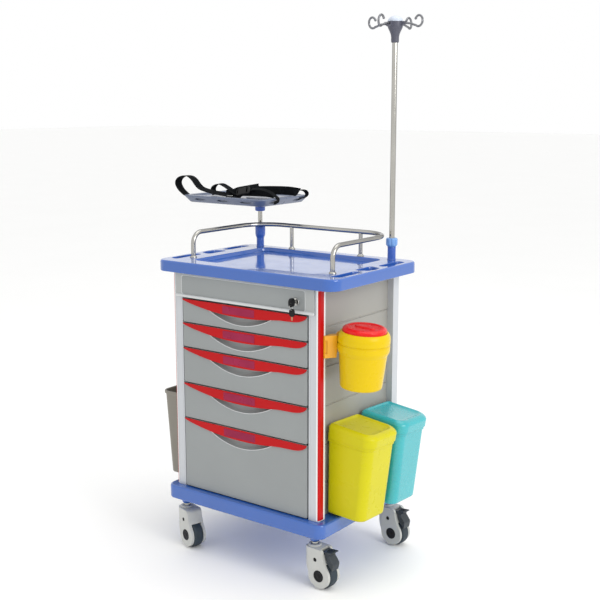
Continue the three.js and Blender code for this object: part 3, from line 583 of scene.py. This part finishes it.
# ------------------------------------------------------------------ drawers
STRIP = [(231, 3), (226, 9), (217, 14.5), (205, 18.5), (188, 21), (160, 22), (138, 22.5), (110, 25), (75, 29), (35, 31.8), (0, 32.5),
         (-35, 32), (-75, 30), (-115, 26), (-150, 21), (-180, 15.6), (-205, 10.4), (-222, 5.8), (-231, 2.5)]
for i in range(5):
    n, zt, zb = i + 1, DZ[i] - 2, DZ[i + 1] + 1.5
    body = f"drawer_{n}"
    fr = temp(prism_y(rr(462, zt - zb, 4, 0, (zt + zb) / 2, 6), -211, -191))

    def crescent(sh):
        hw, pts = 124 - sh * 1.3, []
        for j in range(41):
            t = -1 + 2 * j / 40
            e = 1 - t * t
            pts.append((-10 + hw * t, zt - 21 - max(0.0, 35.5 - sh) * e))
        return pts + [(-10 + hw - 4, zt - 14), (-10 - hw + 4, zt - 14)]
    sc = stack_y([(crescent(s_), y_) for y_, s_ in ((-213, -1.0), (-211, 0), (-210.2, 0.7), (-207.5, 1.9), (-204, 4.2), (-201, 7.4), (-198.6, 11.5), (-197.2, 16.5))])
    combine(fr, [sc])
    piece(f"drawer{n}_face", fr, body, "front", bev=0.6, seg=2, ang=38, replaces=f"drawer{n}_front", sharp=32)
    # painted highlight: a light tube along the lower edge of the scoop paints its highlight line
    lip = [(-10 + 123 * t, -211.15, zt - 21.4 - 35.5 * (1 - t * t)) for t in [-0.97 + 1.94 * q / 48 for q in range(49)]]
    piece(f"drawer{n}_scoop_highlight_lip", tube(lip, 1.25, 10, up=(0, 0, 1)), body, "painted_highlight", sharp=70)
    low = smooth_line([(x, zt - h) for x, h in STRIP], 5)
    sp = [(p.x, p.y) for p in low] + [(-231, zt - 0.01), (231, zt - 0.01)]
    piece(f"drawer{n}_handle", prism_y(sp, -215.3, -211.25), body, "red", bev=1.3, seg=4, ang=40, replaces=f"drawer{n}_strip", sharp=40)
    piece(f"drawer{n}_label", prism_y(rr(119, 22.5, 1.6, -12.5, zt - 15.2, 4), -216.0, -215.0), body, "label", bev=0.35, seg=2)
    t = from_cad(f"drawer{n}_tray")
    piece(f"drawer{n}_box", t, body, "tray", bev=0.6, seg=2, ang=50, replaces=f"drawer{n}_tray", sharp=40)

# ------------------------------------------------------------------ guard rail
rx, yf, yb, rz, rb, rc = 259, -130, 195, 982, 35, 100
path = [Vector((-rx, yf, 906.3)), Vector((-rx, yf, 925))]
path += arc3(Vector((-rx, yf + rb, rz - rb)), Y, Z, rb, 180, 90, 14)
path += [Vector((-rx, yf + rb + 60, rz))] + arc3(Vector((-rx + rc, yb - rc, rz)), X, Y, rc, 180, 90, 22)
path += [Vector((0, yb, rz))] + arc3(Vector((rx - rc, yb - rc, rz)), X, Y, rc, 90, 0, 22)
path += [Vector((rx, yf + rb + 60, rz))] + arc3(Vector((rx, yf + rb, rz - rb)), Y, Z, rb, 90, 180, 14)
path += [Vector((rx, yf, 925)), Vector((rx, yf, 906.3))]
piece("guard_rail_tube", tube(path, 7, 28), "cart", "steel", replaces="guard_rail", sharp=60)
for q, (sx, sy, top_, r_) in enumerate(((-127, yb, rz, 6.2), (138, yb, rz, 6.2), (-rx, yf, 912, 7.4), (rx, yf, 912, 7.4))):
    prof = [(0, 906.3), (10.4, 906.3), (10.6, 907.2), (10.0, 908.8), (8.4, 911), (r_, 914 if top_ > 920 else 911.5), (r_, top_), (0, top_)]
    piece(f"guard_rail_post{q + 1}", lathe(prof, 40, sx, sy), "cart", "steel", sharp=50)

# ------------------------------------------------------------------ infusion mast
mx, my = 253, 190
piece("mast_collar", lathe([(8.7, 906.3), (13, 906.3), (13.2, 907.5), (12.6, 909.4), (12.4, 912), (12.4, 941), (12.7, 943), (12.4, 945), (11.6, 945.7), (8.7, 945.7)], 48, mx, my, loop=True), "cart", "blue_dark", replaces="mast_socket")


def lobes(R, d, n=96):
    return [(mx + (R - d * (0.5 - 0.5 * math.cos(8 * a)) ** 3) * math.cos(a), my + (R - d * (0.5 - 0.5 * math.cos(8 * a)) ** 3) * math.sin(a)) for a in [2 * math.pi * i / n for i in range(n)]]


nut = stack([(lobes(12.4, 0), 946), (lobes(13.2, 0), 946.6), (lobes(15.5, 0.5), 949), (lobes(17.1, 1.2), 952), (lobes(17.6, 2.0), 956), (lobes(17.6, 2.0), 968), (lobes(17.0, 1.6), 970.2), (lobes(15.6, 0.6), 971.8), (lobes(14, 0), 972.5)])
piece("mast_clamp_nut", combine(temp(nut), [prism(circle(8.7, 40, mx, my), 940, 980)]), "mast_nut_body", "blue_light", replaces="mast_nut", sharp=40)
piece("mast_tube", lathe([(6.6, 700), (8, 700), (8, 1563.9), (6.6, 1563.9)], 48, mx, my, loop=True), "mast", "steel", replaces="mast_pole")
hub = temp(lathe([(0, 1543), (9.4, 1543), (10.6, 1543.8), (11.5, 1547), (11.5, 1558), (12.2, 1563), (13.4, 1568), (15.4, 1573), (18.4, 1579), (21.2, 1585), (22.3, 1590), (22.5, 1601.6), (21.8, 1602.7), (0, 1602.7)], 56, mx, my))
adds, slots = [], []
for ux, uy in ((1, 0), (0, 1), (-1, 0), (0, -1)):
    an = math.degrees(math.atan2(uy, ux))
    R = Matrix.Rotation(math.radians(an), 3, "Z")
    mv = lambda p, R=R: R @ p + Vector((mx, my, 0))
    adds.append(xf(prism_y([(10, 1585), (15, 1585), (20, 1587.2), (34, 1595), (34, 1602.7), (10, 1602.7)], -5.5, 5.5), mv))
    slots.append(xf(boxd(0, 37, -3.3, 3.3, 1593.7, 1606), mv))
combine(hub, adds, "UNION")
combine(hub, [lathe([(0, 1540), (8.6, 1540), (8.6, 1564.4), (0, 1564.4)], 40, mx, my)] + slots)
piece("mast_head", hub, "mast", "hub", bev=0.7, seg=2, ang=38, replaces="mast_hub", sharp=40)
for q, (ux, uy) in enumerate(((1, 0), (0, 1), (-1, 0), (0, -1))):
    u = Vector((ux, uy, 0))
    c = Vector((mx, my, 1602)) + u * 78
    vv = Vector((-uy, ux, 0))
    loop = [c + u * (12.6 * math.cos(math.radians(a))) + Z * (15.4 * math.sin(math.radians(a))) + vv * (2.4 * math.sin(math.radians(a * 0.5))) for a in range(-128, 156, 8)]
    pth = [Vector((mx, my, 1597)) + u * 3, Vector((mx, my, 1597)) + u * 30, Vector((mx, my, 1596.6)) + u * 42, Vector((mx, my, 1594.8)) + u * 54,
           Vector((mx, my, 1591.6)) + u * 63 - vv * 1.6]
    pth = [pth[0]] + [Vector(p) for p in smooth_line(pth[1:] + [loop[0]], 4)] + loop[1:]
    piece(f"mast_hook_{q + 1}", tube(pth, 3.2, 18, up=(-uy, ux, 0)), "mast", "hook", replaces="mast_hooks" if q == 0 else (), sharp=60)
    piece(f"mast_hook_tip_{q + 1}", xf(lathe([(0, -3.9), (2.0, -3.4), (3.5, -1.9), (4.0, 0), (3.5, 1.9), (2.0, 3.4), (0, 3.9)], 20), lambda p, e=pth[-1]: p + e), "mast", "hook")
piece("mast_top_cap", lathe([(0, 1602.9), (21.6, 1602.9), (22.3, 1603.6), (22.1, 1606), (21, 1609), (19, 1612.2), (15.8, 1615), (11, 1617.4), (5.5, 1618.7), (0, 1619)], 56, mx, my), "mast", "cap", replaces="mast_cap")

# ------------------------------------------------------------------ equipment shelf
px, py = -253, 190
piece("shelf_collar", lathe([(7.6, 906.3), (12.8, 906.3), (13, 907.6), (12.3, 910), (12.2, 933), (13.2, 936.5), (15.6, 943), (16.4, 948), (16.6, 968), (16.0, 971), (14.6, 972.8), (7.6, 973)], 48, px, py, loop=True), "cart", "blue_dark", replaces="shelf_socket")
piece("shelf_stem", lathe([(0, 700), (7, 700), (7, 1047.7), (0, 1047.7)], 40, px, py), "shelf", "steel", replaces="shelf_post")
piece("shelf_clamp", lathe([(7.3, 1023), (14, 1023), (15.6, 1023.8), (16.5, 1026), (16.5, 1047.7), (7.3, 1047.7)], 48, px, py, loop=True), "shelf", "blue_dark", replaces="shelf_hub")
sx0, sx1, sy0, sy1, sz0, sz1 = -488, -150, 72, 325, 1048, 1072
cx, cy, sw, sd = (sx0 + sx1) / 2, (sy0 + sy1) / 2, sx1 - sx0, sy1 - sy0
lv = [(rr(sw - 34 + 0, sd - 34, 16, cx, cy, 10), sz0), (rr(sw - 28, sd - 28, 17, cx, cy, 10), sz0 + 1.2), (rr(sw - 24, sd - 24, 18, cx, cy, 10), sz0 + 3.4),
      (rr(sw - 3, sd - 3, 20, cx, cy, 10), sz1 - 6.6), (rr(sw - 0.6, sd - 0.6, 20.6, cx, cy, 10), sz1 - 4.6), (rr(sw, sd, 20.6, cx, cy, 10), sz1 - 3),
      (rr(sw - 0.8, sd - 0.8, 20, cx, cy, 10), sz1 - 1.2), (rr(sw - 3.6, sd - 3.6, 18.6, cx, cy, 10), sz1)]
tr = temp(stack(lv))
cuts = [stack([(rr(sw - 40, sd - 40, 10, cx, cy, 8), sz1 - 5), (rr(sw - 36, sd - 36, 11, cx, cy, 8), sz1 - 4.2), (rr(sw - 31, sd - 31, 13, cx, cy, 8), sz1 + 0.5)])]


def lens(c, half, h):      # slot outline with pointed rounded ends
    up = [(c + half * t, h[0] + (h[1] - h[0]) * 0.5 * (1 + (1 - t * t) ** 0.6)) for t in [-1 + 2 * i / 12 for i in range(13)]]
    dn = [(c + half * t, h[0] + (h[1] - h[0]) * 0.5 * (1 - (1 - t * t) ** 0.6)) for t in [1 - 2 * i / 12 for i in range(1, 12)]]
    return up + dn


for s_ in (-96, 0, 96):
    for a, b in ((sy0 - 5, sy0 + 13), (sy1 - 13, sy1 + 5)):
        cuts.append(prism_y(lens(cx + s_, 23, (sz0 + 8, sz0 + 15)), a, b))
for s_ in (-62, 62):
    for a, b in ((sx0 - 5, sx0 + 13), (sx1 - 13, sx1 + 5)):
        cuts.append(prism_x(lens(cy + s_, 23, (sz0 + 8, sz0 + 15)), a, b))
combine(tr, cuts)
piece("shelf_plate", tr, "shelf", "shelf", bev=0.5, seg=2, ang=45, replaces="shelf_tray", sharp=35)


def ribbon(pts, width_dir, width, th=1.6, sub=5, nw=6):
    """Webbing: a thin closed band following pts, width along width_dir(i), slightly thicker at its selvedges."""
    P = smooth_line(pts, sub)
    n = len(P)
    v, f, L_ = [], [], 0.0
    prev = None
    for i, p in enumerate(P):
        t = (P[min(i + 1, n - 1)] - P[max(i - 1, 0)]).normalized()
        wd = Vector(width_dir(i / (n - 1)))
        wd = (wd - t * wd.dot(t)).normalized()
        nm = t.cross(wd)
        if i:
            L_ += (p - P[i - 1]).length
        row = []
        for side in (1, -1):
            rng = range(nw + 1) if side > 0 else range(nw, -1, -1)
            for k in rng:
                s_ = -1 + 2 * k / nw
                e = th / 2 * (0.55 if abs(s_) > 0.99 else (1.12 if abs(s_) > 0.6 else 0.95))
                row.append(p + wd * (s_ * width / 2) + nm * (side * e))
        v += row
    m = 2 * (nw + 1)
    for i in range(n - 1):
        for k in range(m):
            k2 = (k + 1) % m
            f.append((i * m + k, i * m + k2, i * m + m + k2, i * m + m + k))
    f.append(tuple(reversed(range(m))))
    f.append(tuple(range((n - 1) * m, n * m)))
    return ([tuple(q) for q in v], f), L_


def strap(name, pts, wd, width, replaces=(), th=1.6):
    data, L_ = ribbon(pts, wd, width, th)
    o = piece(name, data, "shelf", "web", replaces=replaces, sharp=70, weighted=False)
    return o


z1 = sz1
strap("strap_long", [(-484, 93, z1 - 2.0), (-492, 92, z1 + 2.2), (-511, 92, 1088), (-522.4, 92, 1106), (-516.5, 92, 1122), (-495, 92, 1132.6), (-471, 93, 1132), (-453.7, 95, 1121.5), (-439.6, 98, 1104),
                     (-427, 102, 1093.4), (-407, 108, 1086.8), (-385, 116, 1081.6), (-358, 125, 1077.2), (-327, 134, 1074.0), (-292, 143, 1071.8)],
      lambda t: (0.28 - 0.2 * t, 1, 0.42 * max(0, t - 0.45) / 0.55), 27, replaces="strap_left")
arch_w = lambda t: (0, 0.06, 1)
strap("strap_band", [(-306, 182, 1083), (-284, 203, 1086.6), (-258, 221, 1087.6), (-230, 235, 1088), (-204, 244.5, 1088.2), (-184, 248, 1088), (-168, 249, 1087.4), (-158, 250, 1086.4), (-152.8, 256, 1085.6), (-150.6, 266, 1086.4)],
      lambda t: (0.0, 0.0, 1) if t < 0.8 else (0.9 * (t - 0.8) / 0.2, 0, 1), 28, replaces="strap_right")
strap("strap_end_loop", [(-160, 262, 1087), (-155.5, 280, 1089.6), (-150, 296.5, 1086.6), (-146.4, 303.5, 1077.6), (-145.2, 297.5, 1068.8), (-146.2, 284, 1063.4), (-151, 275, 1062.4), (-158, 270, 1063)],
      lambda t: (1, 0.15, 0.25), 14)
strap("strap_small_loop", [(-414, 152, 1070), (-421.5, 152, 1084), (-418.5, 153, 1096), (-405, 154, 1105), (-386, 153, 1106.4), (-366, 150, 1101), (-346, 147, 1093), (-326, 144, 1084), (-306, 142, 1076.6), (-290, 141, 1072)],
      lambda t: (0.22, 1, 0.1), 22)
strap("strap_tail", [(-262, 156, 1094), (-242, 150, 1097), (-222, 149, 1097.6), (-202, 149.3, 1096), (-180, 149.8, 1090), (-163, 149, 1081.6), (-150.4, 148.6, 1074.8), (-146.6, 148.6, 1069.5), (-146.0, 147, 1064), (-147.2, 140, 1060), (-147.8, 130, 1058.6)],
      lambda t: (0.0, 1, 0.55 * (1 - t)), 14)
strap("strap_fold", [(-340, 144, 1074), (-331, 150, 1082), (-318, 156, 1088), (-300, 164, 1092), (-284, 172, 1095.4), (-268, 181, 1098.6), (-256, 188, 1101)], lambda t: (-0.35, 0.5, 1), 25)
strap("strap_fold_under", [(-352, 136, 1078), (-330, 140, 1082), (-306, 146, 1083.4), (-280, 153, 1084), (-254, 160, 1084.4), (-230, 168, 1084), (-208, 178, 1082.6), (-190, 186, 1079)], lambda t: (0, 0.35 - 0.3 * t, 1), 24 )
# side-release buckle
bu = temp(stack([(rr(44, 28, 7, 0, 0, 6), 0), (rr(47, 31, 8, 0, 0, 6), 1.4), (rr(47, 31, 8, 0, 0, 6), 7.0), (rr(42, 26, 7, 0, 0, 6), 9.2)]))
combine(bu, [boxd(11, 16, -11, 11, -2, 12), boxd(-7, -2, -19, -12.2, 1.5, 7.5), boxd(-7, -2, 12.2, 19, 1.5, 7.5), boxd(-20, -16.6, -10, 10, 4, 12)])
bR = Matrix.Rotation(math.radians(22), 3, "Z") @ Matrix.Rotation(math.radians(-13), 3, "Y") @ Matrix.Rotation(math.radians(42), 3, "X")
for v in bu.data.vertices:
    v.co = Vector((-288, 150, 1084)) + bR @ v.co
piece("strap_buckle", bu, "shelf", "black", bev=0.8, seg=2, ang=40)
pth = [Vector((x, y, z1 + 0.4)) for x, y in rr(34, 15, 4, -336, 132, 5)]
piece("strap_slider", tube(pth, 1.5, 12, closed=True, up=(0, 0, 1)), "shelf", "chrome")

# ------------------------------------------------------------------ sharps container
hx, hy = 353.5, -112
lean = rot_about("Y", 3.75, (hx, hy, 720))
bucket = [(0, 591), (54.6, 591), (56.4, 591.3), (58.2, 592.6), (59.2, 595), (59.6, 598), (67.3, 686), (67.8, 688.5), (69.2, 690.6), (70.6, 693), (71.6, 696.5), (73.1, 699.2), (73.5, 701),
          (73.5, 713.8), (73.0, 715.2), (71.2, 716.6), (70.8, 718), (71.2, 719.4), (73.0, 720.8), (73.5, 722.4), (73.4, 734), (72.6, 740), (70.8, 745.4), (68.4, 749.4), (66.4, 751.4), (65, 752),
          (63.2, 752), (62.4, 751.4), (62.3, 742.4), (63.9, 738), (63.8, 690), (56.3, 598), (55, 596), (50, 594.6), (0, 594.6)]
piece("sharps_container", xf(lathe(bucket, 96, hx, hy), lean), "cart", "sharps", replaces="sharps_bucket", sharp=45)
lid = [(0, 743), (60.5, 743), (61.7, 743.8), (61.8, 746), (61.8, 757.4), (61.2, 759.8), (59.8, 761.2), (57.8, 761.9), (56.6, 762.3), (55.6, 763.3), (54, 764.2), (50, 764.8), (46.6, 764.6), (45.4, 763.8), (44.6, 762.8), (43, 762.4), (20, 762.2), (0, 762.4)]
piece("sharps_cover_disc", xf(lathe(lid, 96, hx, hy), lean), "sharps_cover", "lidred", replaces="sharps_lid", sharp=45)
bar = [(x, y) for x, y in rr(62, 15, 5, hx, hy, 6)]
piece("sharps_cover_grip", xf(stack([(bar, 762), (rr(61, 14, 4.6, hx, hy, 6), 764.2), (rr(58.5, 11.6, 3.6, hx, hy, 6), 765)]), lean), "sharps_cover", "lidred", sharp=60)
piece("sharps_holder", from_cad("sharps_bracket"), "cart", "bracket", bev=1.4, seg=3, ang=40, replaces="sharps_bracket", sharp=40)

# ------------------------------------------------------------------ bins
BP = (264, 474, 3.5, -2.4)


def bin_(name, y0, y1, mat):
    yc = (y0 + y1) / 2
    r1, r2 = rot_about("X", BP[3], (BP[0], yc, BP[1])), rot_about("Y", BP[2], (BP[0], yc, BP[1]))
    hang = lambda p: r2(r1(p))
    y1 += 2
    S = lambda x0, x1, a, b, ri, ro: rr4(x0, x1 + (min(4.2, max(2.5, 2.5 + (x1 - 384) * 0.12)) if x1 > 345 else 0), a, b, ri, ro * 0.84, 10)
    out = [(S(277, 383, y0 + 19, y1 - 19, 6, 26), 208), (S(275.2, 386.4, y0 + 15.4, y1 - 15.4, 7, 28), 208.6), (S(274.0, 389.0, y0 + 13, y1 - 13, 8, 30), 210.6), (S(273.4, 390.6, y0 + 11.6, y1 - 11.6, 8, 31), 214), (S(273.2, 391.2, y0 + 11.2, y1 - 11.2, 8, 31), 220),
           (S(260.6, 397.6, y0 + 5.0, y1 - 5.0, 9, 34), 421), (S(260.0, 398.6, y0 + 4.4, y1 - 4.4, 9, 34.6), 422.4), (S(258.6, 400.6, y0 + 2.8, y1 - 2.8, 9, 36), 423.6), (S(258.2, 400.9, y0 + 2.6, y1 - 2.6, 9, 36), 445.2), (S(258.8, 400.3, y0 + 3.2, y1 - 3.2, 9, 35.5), 446)]
    inn = [(S(278.5, 384, y0 + 18.5, y1 - 18.5, 5, 24), 215.5), (S(276.8, 387, y0 + 15.4, y1 - 15.4, 6, 27), 217.8), (S(261.4, 395.6, y0 + 7.6, y1 - 7.6, 8, 32), 445.4), (S(260.6, 397.0, y0 + 6.4, y1 - 6.4, 8, 33), 446)]
    piece(f"bin_{name}_body", xf(shell(out, inn), hang), "cart", mat, replaces=f"bin_{name}", sharp=40)
    piece(f"bin_{name}_hanger", xf(boxd(255.9, 259.6, y0 + 26, y1 - 26, 430, 465.8), hang), "cart", mat, bev=0.9, seg=3)
    # lid: outer skirt, rounded edge, raised rim, shallow dished crown
    o_ = [(S(260.3, 404, y0 + 1, y1 - 1, 7, 38), 432), (S(260.3, 404.8, y0 + 0.6, y1 - 0.6, 7.5, 38.6), 433), (S(260.3, 406.6, y0 + 0.1, y1 - 0.1, 8, 40), 454), (S(260.3, 407.0, y0, y1, 8, 40), 458),
          (S(260.3, 406.2, y0 + 0.8, y1 - 0.8, 8, 40), 462.4), (S(260.9, 403.8, y0 + 2.8, y1 - 2.8, 8, 39), 466.2), (S(262.4, 399.8, y0 + 6, y1 - 6, 8, 37), 469.4), (S(264.6, 395, y0 + 9.6, y1 - 9.6, 8, 35), 471.4),
          (S(266.4, 391.6, y0 + 12, y1 - 12, 8, 34), 472.2), (S(268.4, 388.6, y0 + 14, y1 - 14, 8, 33), 471.8), (S(271.4, 384.6, y0 + 17, y1 - 17, 8, 31), 469.4), (S(276, 379, y0 + 21.5, y1 - 21.5, 8, 28), 467.4),
          (S(287, 369, y0 + 32, y1 - 32, 7, 22), 466.2), (S(318, 338, yc - 8, yc + 8, 4, 6), 465.6)]
    i_ = [(S(263.0, 402.2, y0 + 2.9, y1 - 2.9, 6.5, 36), 432), (S(262.4, 404.2, y0 + 2.5, y1 - 2.5, 7, 38), 452), (S(263.5, 402, y0 + 4.6, y1 - 4.6, 7, 37), 455), (S(285, 372, y0 + 30, y1 - 30, 6, 20), 457.4), (S(318, 338, yc - 8, yc + 8, 4, 6), 457.6)]
    # closed thin shell: outside up to the crown, inside back down
    n = len(o_[0][0])
    v, fcs = [], []
    for pts, z in i_[::-1] + o_:
        v += [(x, y, z) for x, y in pts]
    rows = len(i_) + len(o_)
    for k in range(rows - 1):
        for q in range(n):
            j = (q + 1) % n
            fcs.append((k * n + q, k * n + j, k * n + n + j, k * n + n + q))
    fcs.append(tuple(range(n)))
    fcs.append(tuple(range((rows - 1) * n, rows * n)))

    def slope(p):          # crown highest over the hinge side, falling outwards
        if p.z > 450:
            p = p.copy()
            f_ = min(1, (p.z - 450) / 12)
            p.z += f_ * (4.0 - 9.4 * max(0, (p.x - 262) / 145) ** 1.6)
        return p
    lid_o = temp(xf((v, fcs), slope))
    # the hinge side carries no skirt
    combine(lid_o, [boxd(250, 262.7, y0 - 5, y1 + 5, 420, 452.6), boxd(250, 268, y0 + 8, y1 - 8, 420, 452.6)])
    for vv in lid_o.data.vertices:
        vv.co = hang(vv.co)
    piece(f"bin_{name}_cover", lid_o, f"lid_{name}", mat, replaces=f"bin_{name}_lid", sharp=40)


bin_("yellow", -150, 2, "yellow")
bin_("teal", 18, 172, "teal")

# ------------------------------------------------------------------ side tub
S = lambda x0, x1, a, b, r, n=10: rr(x1 - x0, b - a, r, (x0 + x1) / 2, (a + b) / 2, n)
out = [(S(-358, -263, -141, 136, 15), 202.5), (S(-360.6, -261, -143.2, 138.2, 17), 203.2), (S(-362.4, -259.6, -144.6, 139.6, 19), 205.2), (S(-363, -259, -145, 140, 20), 207.8),
       (S(-379.6, -256.2, -152.8, 147.8, 24), 458), (S(-380.4, -256, -153.2, 148.2, 24), 460.4), (S(-384.2, -256, -154.4, 149.4, 26), 462.6), (S(-385, -256, -155, 150, 26), 464.4), (S(-385, -256, -155, 150, 26), 470), (S(-383.6, -256.6, -153.8, 148.8, 25), 472)]
inn = [(S(-356, -265, -138, 133, 14), 211), (S(-360, -262.5, -141.4, 136.4, 17), 213.6), (S(-377.4, -259, -150, 145, 22), 468), (S(-379.6, -258.4, -151.4, 146.4, 23), 472)]
# the tub material carries painted shade in its darkened colour
piece("side_tub_body", shell(out, inn), "cart", "tub", replaces="side_tub", sharp=40)

# ------------------------------------------------------------------ casters
TX, HZ, WR = 33, 47, 41


def frame_of(k):
    x, y, a = STEM[k]
    a = math.radians(a)
    return lambda p: Vector((x + p.x * math.cos(a) - p.y * math.sin(a), y + p.x * math.sin(a) + p.y * math.cos(a), p.z))


def at(r, a):
    return (TX + r * math.cos(math.radians(a)), HZ + r * math.sin(math.radians(a)))


def lathe_y(prof, n, cx_, cz_):     # turned about an axis along local Y: profile (radius, y)
    v, f_ = lathe(prof, n)
    return [(cx_ + x, z, cz_ + y) for x, y, z in v], f_


for k in STEM:
    T = frame_of(k)
    pedal = k in ("fr", "rr")
    outl = smooth_line([(-25.5, 100), (-25.5, 118), (-24, 124), (-18, 126), (0, 126), (34, 126), (40, 124.6), (44, 121), (45.8, 114), (47.4, 104), (51.5, 92), (56.5, 79)], 4)
    outl = [(p.x, p.y) for p in outl]
    outl += [at(37, a) for a in range(38, -181, -7)] + [(p.x, p.y) for p in smooth_line([(-6, 54), (-11, 63), (-18, 76), (-24, 90)], 4)]
    h = temp(prism_y(outl, -26, 26))
    plan = [(80, 25.5), (0, 25.5)] + [(-25.5 * math.sin(math.pi * i / 32), 25.5 * math.cos(math.pi * i / 32)) for i in range(1, 32)] + [(0, -25.5), (80, -25.5)]
    combine(h, [prism(plan, -5, 140)], "INTERSECT")
    cuts = [lathe_y([(0, -16.6), (43, -16.6), (43, 16.6), (0, 16.6)], 72, TX, HZ)]
    cuts += [lathe_y([(0, sg * 22.6), (6.2, sg * 22.6), (6.2, sg * 30), (0, sg * 30)], 28, 20, 93.6) for sg in (-1, 1)]
    if pedal:
        cuts.append(boxd(33.2, 62, -16.6, 16.6, 111, 130))
    combine(h, cuts)
    for v in h.data.vertices:
        v.co = T(v.co)
    piece(f"caster_{k}_fork", h, f"caster_{k}", "housing", bev=2.6, seg=4, ang=42, replaces=f"caster_{k}_housing", sharp=40)
    piece(f"caster_{k}_swivel_ring", xf(lathe([(0, 124), (18.8, 124), (19.0, 126.3), (19.9, 126.9), (20, 128.6), (19.2, 130.2), (17.4, 131.0), (12.6, 131.1), (12.0, 130.2), (0, 130.2)], 40), T), f"caster_{k}", "housing")
    piece(f"caster_{k}_stem", xf(lathe([(0, 130.2), (11.4, 130.2), (11.6, 131), (11.4, 131.8), (10, 132.2), (9.8, 132.6), (10.0, 133.2), (9.8, 136.6), (9.0, 137.4), (7, 137.6), (6.6, 138.4), (6, 139.4), (6, 139.9), (0, 139.9)], 32), T), f"caster_{k}", "chrome")
    for s_, nm in ((-1, "a"), (1, "b")):
        cap_ = [(0, s_ * 24.5), (17.2, s_ * 24.5), (17.5, s_ * 25.3), (17.3, s_ * 26.2), (16.0, s_ * 26.9), (13.2, s_ * 26.9), (12.0, s_ * 26.0), (6.8, s_ * 25.8), (5.6, s_ * 26.6), (3, s_ * 26.9), (0, s_ * 26.9)]
        piece(f"caster_{k}_hubcap_{nm}", xf(lathe_y(cap_, 40, TX, HZ), T), f"caster_{k}", "black")
        # painted shade: a black disc at the bottom of each pin hole darkens it
        ho = [(0, s_ * 22.6), (6.1, s_ * 22.6), (6.1, s_ * 24.6), (5.7, s_ * 24.9), (3.4, s_ * 24.5), (3.1, s_ * 23.6), (0, s_ * 23.5)]
        piece(f"caster_{k}_pinhole_{nm}", xf(lathe_y(ho, 28, 20, 93.6), T), f"caster_{k}", "hole")
    tread = [(0, -16.2), (11, -16.2), (11, -15.2), (30, -14.2), (33, -15.0), (36.5, -15.0), (38.6, -14.4), (40.0, -12.8), (40.8, -10), (41, -6), (41, 6), (40.8, 10), (40.0, 12.8), (38.6, 14.4), (36.5, 15.0), (33, 15.0), (30, 14.2), (11, 15.2), (11, 16.2), (0, 16.2)]
    piece(f"caster_{k}_tyre", xf(lathe_y(tread, 96, TX, HZ), T), f"wheel_{k}", "tyre", replaces=f"caster_{k}_wheel", sharp=40)
    piece(f"caster_{k}_axle", xf(lathe_y([(0, -24.4), (5, -24.4), (5, 24.4), (0, 24.4)], 24, TX, HZ), T), f"wheel_{k}", "chrome")
    if pedal:
        pp = [(34.4, 113.4), (34.4, 119.6), (36, 121.2), (54, 122.4), (72, 124), (74, 122.6), (73.6, 121), (66.4, 116.4), (63, 112.6), (62.4, 109.6), (66, 104.6), (71, 98.6), (76.4, 91.2), (77.2, 88), (76.8, 83), at(46.2, 28), at(46, 36), at(46, 45), at(46, 54), (55, 91.5), (50.8, 104), (49.6, 113.4)]
        pd = prism_y(pp, -15.8, 15.8)
        piece(f"caster_{k}_brake", xf(pd, T), f"pedal_{k}", "pedal", bev=1.1, seg=3, ang=40, replaces=f"caster_{k}_pedal")
        for s_ in (-9, -3, 3, 9):
            piece(f"caster_{k}_rib{s_ + 9}", xf(boxd(50, 70.5, s_ - 0.8, s_ + 0.8, 121.6, 124.6), T), f"pedal_{k}", "pedal", bev=0.35, seg=2)

# ------------------------------------------------------------------ stage, light, camera
fl = bpy.data.meshes.new("floor")
s = 40
fl.from_pydata([(-s, -s, 0), (s, -s, 0), (s, s, 0), (-s, s, 0)], [], [(0, 1, 2, 3)])
flo = bpy.data.objects.new("floor", fl)
bpy.context.scene.collection.objects.link(flo)
fl.materials.append(material("floor_pale", "#fbfbfa", 0.7, var=0.006, vscale=1.5, bump=0.02, bscale=60))

world = bpy.data.worlds.new("studio")
bpy.context.scene.world = world
world.use_nodes = True
bg = world.node_tree.nodes["Background"]
bg.inputs["Color"].default_value = (1.0, 1.0, 1.0, 1)
bg.inputs["Strength"].default_value = 1.0


def area(name, loc, aim, size, power, col=(1, 1, 1)):
    d = bpy.data.lights.new(name, "AREA")
    d.shape = "RECTANGLE"
    d.size, d.size_y = size
    d.energy = power
    d.color = col
    o = bpy.data.objects.new(name, d)
    o.location = loc
    o.rotation_mode = "QUATERNION"
    o.rotation_quaternion = (Vector(aim) - Vector(loc)).to_track_quat("-Z", "Y")
    bpy.context.scene.collection.objects.link(o)
    return o


area("key_right", (3.6, -0.5, 2.3), (0.1, 0, 0.7), (1.6, 1.6), 46)
area("top_soft", (0.5, 0.5, 3.6), (0, 0, 0.8), (2.4, 2.4), 22)

cam = bpy.data.objects.new("camera", bpy.data.cameras.new("camera"))
bpy.context.scene.collection.objects.link(cam)
bpy.context.scene.camera = cam
pos, tgt = W(1915.8, -2517.5, 1379.1), W(50.26, 0, 788.19)
cam.location = pos
cam.rotation_mode = "QUATERNION"
cam.rotation_quaternion = (tgt - pos).to_track_quat("-Z", "Y")
cam.data.sensor_width = 36
cam.data.lens = 63.6
cam.data.clip_start, cam.data.clip_end = 0.05, 200
cam.data.dof.use_dof = False
bpy.context.scene.view_settings.view_transform = "Standard"
bpy.context.scene.view_settings.look = "None"

bpy.context.view_layer.update()
